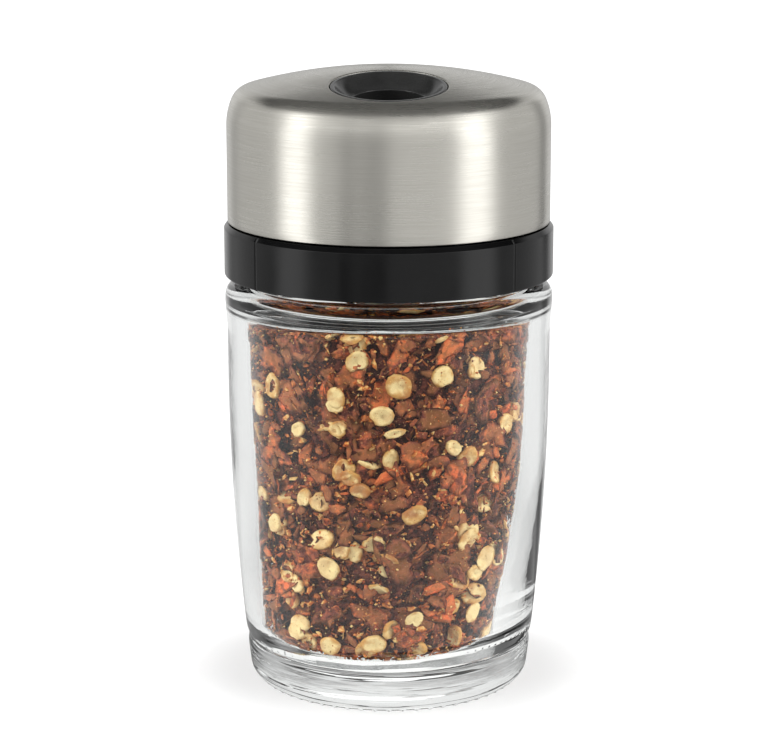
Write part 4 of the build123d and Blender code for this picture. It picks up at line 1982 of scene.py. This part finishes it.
@dataclass
class Studio:
    """Camera, floor, lamps and the room that metal and glass reflect.

    The slopes of the room read a part of a direction, and those of the floor read metres.
    """

    distance: float = 388.7
    height: float = 137.0
    pitch: float = 12.887
    focal_pixels: float = 2591.4
    aside: float = 0.11
    lamp_aside: float = 0.88
    lamp_front: float = 0.18
    lamp_height: float = 0.5
    lamp_spread: float = 45.0
    lamp_share: float = 1.0
    ambient: float = 0.6
    inside_level: float = 2.25
    room: float = 0.6
    boxes: tuple[Softbox, ...] = (
        Softbox(-68, 11, 14, 1.2),
        Softbox(63, 13, 14, 1.15),
        Softbox(-17, 16, 4, -0.19),
        Softbox(-30, 3, 3, -0.09),
        Softbox(-20.5, 3, 3, 0.09),
        Softbox(-7, 4, 4, -0.05),
        Softbox(22, 22, 8, 0.08),
        Softbox(157, 9, 12, 0.15),
        Softbox(-157, 9, 12, 0.15),
        Softbox(138, 6, 8, -0.35),
        Softbox(-138, 6, 8, -0.15),
    )
    facing_front: Slope = Slope(0.25, -0.25)
    front_height: Slope = Slope(0.58, 0.43)
    back_height: Slope = Slope(0.45, 0.2)
    panel_bottom: Slope = Slope(0.3, 0.42)
    panel_top: Slope = Slope(0.62, 0.54)
    panel_level: float = 0.95
    ceiling: Slope = Slope(0.5, 0.8, 0.0, 0.12)
    glass_height: Slope = Slope(0.48, 0.21, 0.11, 0.89)
    glass_side: Slope = Slope(0.35, 0.65, 0.0, 0.5)
    glass_front: Slope = Slope(0.0, 1.0, 1.0, 0.85)
    rear_wall: Slope = Slope(0.2, 0.7)
    rear_height: Slope = Slope(0.5, 0.2, 0.0, 0.75)
    floor_reach: float = 3000.0
    floor_cells: int = 8
    floor_plain: Colour = (0.8, 0.8, 0.8)
    floor_lit: Colour = (0.37, 0.37, 0.37)
    # A painted shade: seen through glass, the floor further in front of the jar is dimmed.
    shade_place: Slope = Slope(-0.13, -0.05)
    shade_side: Slope = Slope(0.6, 0.85)
    shade_level: Slope = Slope(0.0, 1.0, 0.35, 1.0)
    # The floor's white glow, painted lower close to the foot: a painted shade.
    lift_and_painted_foot_shade: Slope = Slope(0.0225, 0.036, 0.48, 0.72)
    # The glow seen through glass, painted higher close to the jar: a painted light under it.
    lift_through_and_painted_light_under_jar: Slope = Slope(0.02, 0.08, 0.7, 0.29)
    mirrored_near: Slope = Slope(0.24, 0.32, 0.2, 1.0)
    mirrored_behind: Slope = Slope(-0.02, 0.06, 0.0, 1.25)
    mirrored_by_steel: Colour = (0.9, 0.9, 0.9)

    def camera(self) -> None:
        """Make the camera where the photograph was taken from."""
        data = bpy.data.cameras.new("camera")
        data.sensor_width = 36.0
        data.lens = self.focal_pixels * data.sensor_width / IMAGE_WIDTH
        data.clip_start = 0.01
        data.clip_end = 50.0
        made = bpy.data.objects.new("camera", data)
        made.location = (self.aside * MM, -self.distance * MM, self.height * MM)
        made.rotation_euler = (math.radians(90 - self.pitch), 0, 0)
        bpy.context.scene.collection.objects.link(made)
        bpy.context.scene.camera = made

    def lamps(self) -> None:
        """Make two wide soft lamps high in front, one to each side, seen only by what they light."""
        for side in (-1, 1):
            data = bpy.data.lights.new("side_lamp", "SUN")
            data.energy = self.lamp_share * math.pi
            data.angle = math.radians(self.lamp_spread)
            made = bpy.data.objects.new("side_lamp", data)
            made.location = (side * self.lamp_aside, -self.lamp_front, self.lamp_height)
            made.rotation_euler = (-made.location).to_track_quat("-Z", "Y").to_euler()
            made.visible_camera = False
            made.visible_glossy = False
            made.visible_transmission = False
            bpy.context.scene.collection.objects.link(made)

    def streaks(self, nodes: Nodes, where: Socket) -> Socket:
        """The room's brightness by azimuth: its level plus each softbox.

        Args:
            nodes: The tree to build in.
            where: A direction or a place; its azimuth about +Z is read, 0 at -Y.

        Returns:
            The brightness.
        """
        parts = nodes.parts(where)
        azimuth = nodes.times(nodes.math("ARCTAN2", parts[0], nodes.times(parts[1], -1.0)), 360 / TURN)
        total: Any = self.room
        for box in self.boxes:
            away = nodes.math("ABSOLUTE", nodes.math("SUBTRACT", azimuth, float(box.azimuth)))
            half = box.softness / 2
            edge = Slope(box.half_width - half, box.half_width + half, box.level, 0.0)
            total = nodes.plus(total, nodes.ease(away, edge))
        return total

    def mirrored_room(self, nodes: Nodes, where: Socket) -> Socket:
        """What steel and plastic reflect: the streaks on dark walls, a panel overhead and a dim ceiling.

        Args:
            nodes: The tree to build in.
            where: The direction.

        Returns:
            The brightness.
        """
        parts = nodes.parts(where)
        up = parts[2]
        front = nodes.ease(parts[1], self.facing_front)
        walls = nodes.ease(up, self.front_height)
        reach = nodes.mix(front, nodes.ease(up, self.back_height), walls)
        boxes = nodes.times(nodes.math("SUBTRACT", self.streaks(nodes, where), self.room), reach)
        room = nodes.math("MULTIPLY_ADD", walls, self.room, boxes)
        panel = nodes.times(nodes.ease(up, self.panel_bottom), nodes.ease(up, self.panel_top))
        room = nodes.plus(room, nodes.times(nodes.times(panel, front), self.panel_level))
        return nodes.plus(room, nodes.ease(up, self.ceiling))

    def world(self) -> None:
        """Make the room: white to the camera, streaked to what mirrors it, pale and dark to the glass.

        The rest, and light that has met something dull, finds it plain.
        """
        world = bpy.data.worlds.new("studio")
        world.use_nodes = True
        world.cycles.sampling_method = "NONE"
        bpy.context.scene.world = world
        nodes = Nodes(world.node_tree)
        path = nodes.add("LightPath")
        within = path.outputs["Is Transmission Ray"]
        where = nodes.add("TexCoord").outputs["Generated"]
        parts = nodes.parts(where)
        up = parts[2]
        front = nodes.ease(parts[1], self.facing_front)
        side = nodes.ease(nodes.math("ABSOLUTE", parts[0]), self.glass_side)
        through = nodes.larger(nodes.ease(up, self.glass_height), side)
        through = nodes.times(through, nodes.ease(front, self.glass_front))
        rear = nodes.times(nodes.ease(parts[1], self.rear_wall), nodes.ease(up, self.rear_height))
        rear = nodes.times(rear, path.outputs["Is Singular Ray"])
        mirrored = nodes.larger(self.mirrored_room(nodes, where), rear)
        shown = nodes.mix(within, mirrored, through)
        directly = nodes.times(nodes.larger(path.outputs["Is Glossy Ray"], within), nodes.unbounced(path))
        level = nodes.math("MULTIPLY_ADD", within, self.inside_level - self.ambient, self.ambient)
        plain = nodes.mix(directly, level, shown)
        seen = nodes.mix(path.outputs["Is Camera Ray"], plain, WHITE)
        light = nodes.add("Background", {"Color": seen, "Strength": 1.0})
        nodes.add("OutputWorld", {"Surface": light.outputs[0]})

    def floor_paint(self) -> Material:
        """Make the floor's paint.

        It is white where it is lit, to the camera and through glass, with the shadow kept, and its white glow
        is painted lower round the foot, a painted shade. Seen through glass it is painted brighter under the
        jar, a painted light, and dimmer further in front, a painted shade. It shows the streaks to what
        mirrors it directly, darker near the jar to sharp mirrors, and it is plain to the rest.

        Returns:
            The material.
        """
        material, nodes = new_material("floor_paint")
        path = nodes.add("LightPath")
        within = path.outputs["Is Transmission Ray"]
        where = nodes.where()
        parts = nodes.parts(where)
        away = nodes.length(nodes.vector(parts[0], parts[1]))
        sideways = nodes.math("DIVIDE", nodes.math("ABSOLUTE", parts[0]), away)
        # Painted shade: seen through glass, the floor in front of the jar is dimmed.
        lit = nodes.larger(nodes.ease(parts[1], self.shade_place), nodes.ease(sideways, self.shade_side))
        dim = nodes.mix(within, WHITE, nodes.ease(lit, self.shade_level))
        paint = nodes.add("BsdfDiffuse", {"Color": nodes.mix(dim, BLACK, self.floor_lit)})
        # The white glow is painted lower round the foot, a painted shade. Seen through glass it is painted
        # higher under the jar, a painted light.
        lift_with_painted_light_and_shade = nodes.mix(within, nodes.ease(away, self.lift_and_painted_foot_shade), nodes.ease(away, self.lift_through_and_painted_light_under_jar))
        lift_and_painted_foot_shade = nodes.add("Emission", {"Color": WHITE, "Strength": nodes.times(lift_with_painted_light_and_shade, dim)})
        near = nodes.larger(nodes.ease(away, self.mirrored_near), nodes.ease(parts[1], self.mirrored_behind))
        near = nodes.mix(path.outputs["Is Singular Ray"], self.mirrored_by_steel, near)
        streaks = nodes.times(self.streaks(nodes, where), near)
        mirrored = nodes.add("Emission", {"Color": streaks, "Strength": 1.0})
        plain = nodes.add("BsdfDiffuse", {"Color": self.floor_plain})
        mirror_share = nodes.times(path.outputs["Is Glossy Ray"], nodes.unbounced(path))
        rest = nodes.join("MixShader", mirror_share, plain, mirrored)
        direct = nodes.larger(path.outputs["Is Camera Ray"], within)
        nodes.show(nodes.join("MixShader", direct, rest, nodes.join("AddShader", paint, lift_and_painted_foot_shade)))
        return material

    def floor(self) -> None:
        """Make the floor: a flat square grid at the height of the foot."""
        reach = self.floor_reach
        cells = self.floor_cells
        line = np.linspace(-reach, reach, cells + 1)
        grid = np.stack([*np.meshgrid(line, line), np.zeros((cells + 1, cells + 1))], -1)
        row, column = np.meshgrid(np.arange(cells), np.arange(cells), indexing="ij")
        corner = row * (cells + 1) + column
        faces = np.stack([corner, corner + 1, corner + cells + 2, corner + cells + 1], -1).reshape(-1, 4)
        build_object("floor", grid, [faces], self.floor_paint())

    def build(self) -> None:
        """Make the whole studio."""
        self.camera()
        self.lamps()
        self.world()
        self.floor()
        bpy.context.scene.view_settings.view_transform = "Standard"


# The whole


FRONT_BITS = {
    Bit.SEED: (
        Chosen(1.5, 50.6, 2.05, 1.9, 160),
        Chosen(-16.4, 48.9, 2.1, 1.55, 80),
        Chosen(7.7, 51.8, 1.85, 1.6, 110),
        Chosen(11.7, 52.2, 1.15, 0.65, 85),
        Chosen(-1.0, 46.2, 1.75, 1.65, 30),
        Chosen(-7.7, 47.4, 1.45, 1.0, 10),
        Chosen(-12.9, 43.1, 1.4, 1.1, 40),
        Chosen(0.8, 43.6, 1.7, 0.7, 20),
        Chosen(9.2, 40.9, 1.6, 1.0, 140),
        Chosen(-4.1, 34.7, 1.3, 1.5, 60),
        Chosen(-12.0, 32.7, 1.6, 1.15, 80),
        Chosen(3.6, 31.0, 1.9, 1.5, 30),
        Chosen(-8.1, 22.2, 2.0, 1.65, 150),
        Chosen(-7.5, 9.6, 1.7, 1.75, 10),
        Chosen(-1.2, 10.4, 1.6, 1.85, 70),
        Chosen(12.6, 20.6, 1.3, 1.5, 60),
        Chosen(-16.0, 27.5, 1.7, 1.3, 100),
    ),
    Bit.SKIN: (
        Chosen(0.7, 37.5, 3.3, 1.15, 28, 1.15),
        Chosen(6.5, 45.6, 3.6, 2.2, -12, 0.05),
        Chosen(4.2, 11.4, 3.3, 1.7, 20, 0.62),
        Chosen(7.4, 19.3, 2.4, 1.0, 10, 1.0),
        Chosen(9.4, 15.8, 1.0, 2.2, -10, 1.0),
        Chosen(-3.4, 44.4, 2.0, 2.6, 5, 0.25),
        Chosen(2.0, 25.6, 2.8, 1.8, 15, 0.3),
    ),
}
SKIN_STOPS = (
    (0.0, (0.05, 0.016, 0.012)),
    (0.3, (0.15, 0.042, 0.03)),
    (0.55, (0.26, 0.072, 0.042)),
    (0.8, (0.46, 0.115, 0.046)),
    (1.0, (0.76, 0.16, 0.055)),
)
SHRED_STOPS = (
    (0.0, (0.1, 0.02, 0.01)),
    (0.3, (0.34, 0.065, 0.02)),
    (0.6, (0.6, 0.15, 0.038)),
    (0.82, (0.75, 0.34, 0.09)),
    (1.0, (0.9, 0.62, 0.25)),
)


def dress_nodes(finishes: dict[str, Material]) -> None:
    """Give the nodes that keep their own shape their finishes.

    Args:
        finishes: A material for each node's name.
    """
    for name, finish in finishes.items():
        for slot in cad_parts[name].material_slots:
            slot.material = finish
        log.info("%s: keeps its mesh, finish %s", name, finish.name)


def main() -> None:
    """Build the studio and every sub-assembly."""
    logging.basicConfig(level=logging.INFO, format="%(message)s")
    effects = Effects()
    Studio().build()
    jar = GlassJar()
    jar.build(ClearGlass().build(effects))
    dark = ChilliSkin("chilli_skin_finish", SKIN_STOPS).build(effects)
    red = ChilliSkin("chilli_shred_finish", SHRED_STOPS, roughness=0.5, wrinkle_scale=2400.0).build(effects)
    ChilliFill(jar, FRONT_BITS).build(dark, red, SeedCoat().build(effects))
    Collar().build(MouldedPlastic("black_gloss_finish", roughness=0.12).build(effects))
    head = Head()
    head.build(BrushedSteel("brushed_steel_finish").build(effects))
    grey = {"base": (0.014, 0.014, 0.0138), "worn": (0.022, 0.022, 0.0215)}
    dish = MouldedPlastic("black_funnel_finish", roughness=0.16, shine=0.55, **grey).build(effects)
    Funnel(head).build(dish)
    satin = MouldedPlastic("black_satin_finish", roughness=0.42, grain_depth=0.00001).build(effects)
    plain = BrushedSteel("plain_steel_finish", roughness=0.25, spread=0.4, fineness=5000.0).build(effects)
    seals = dict.fromkeys(("rim_seal", "chute_seal"), SoftSeal().build(effects))
    inner = dict.fromkeys(("sifter_drum", "cap_core"), satin)
    pivot = dict.fromkeys(("pivot_washer", "pivot_spring", "pivot_screw"), plain)
    dress_nodes({**seals, **inner, **pivot})


if __name__ == "__main__":
    main()
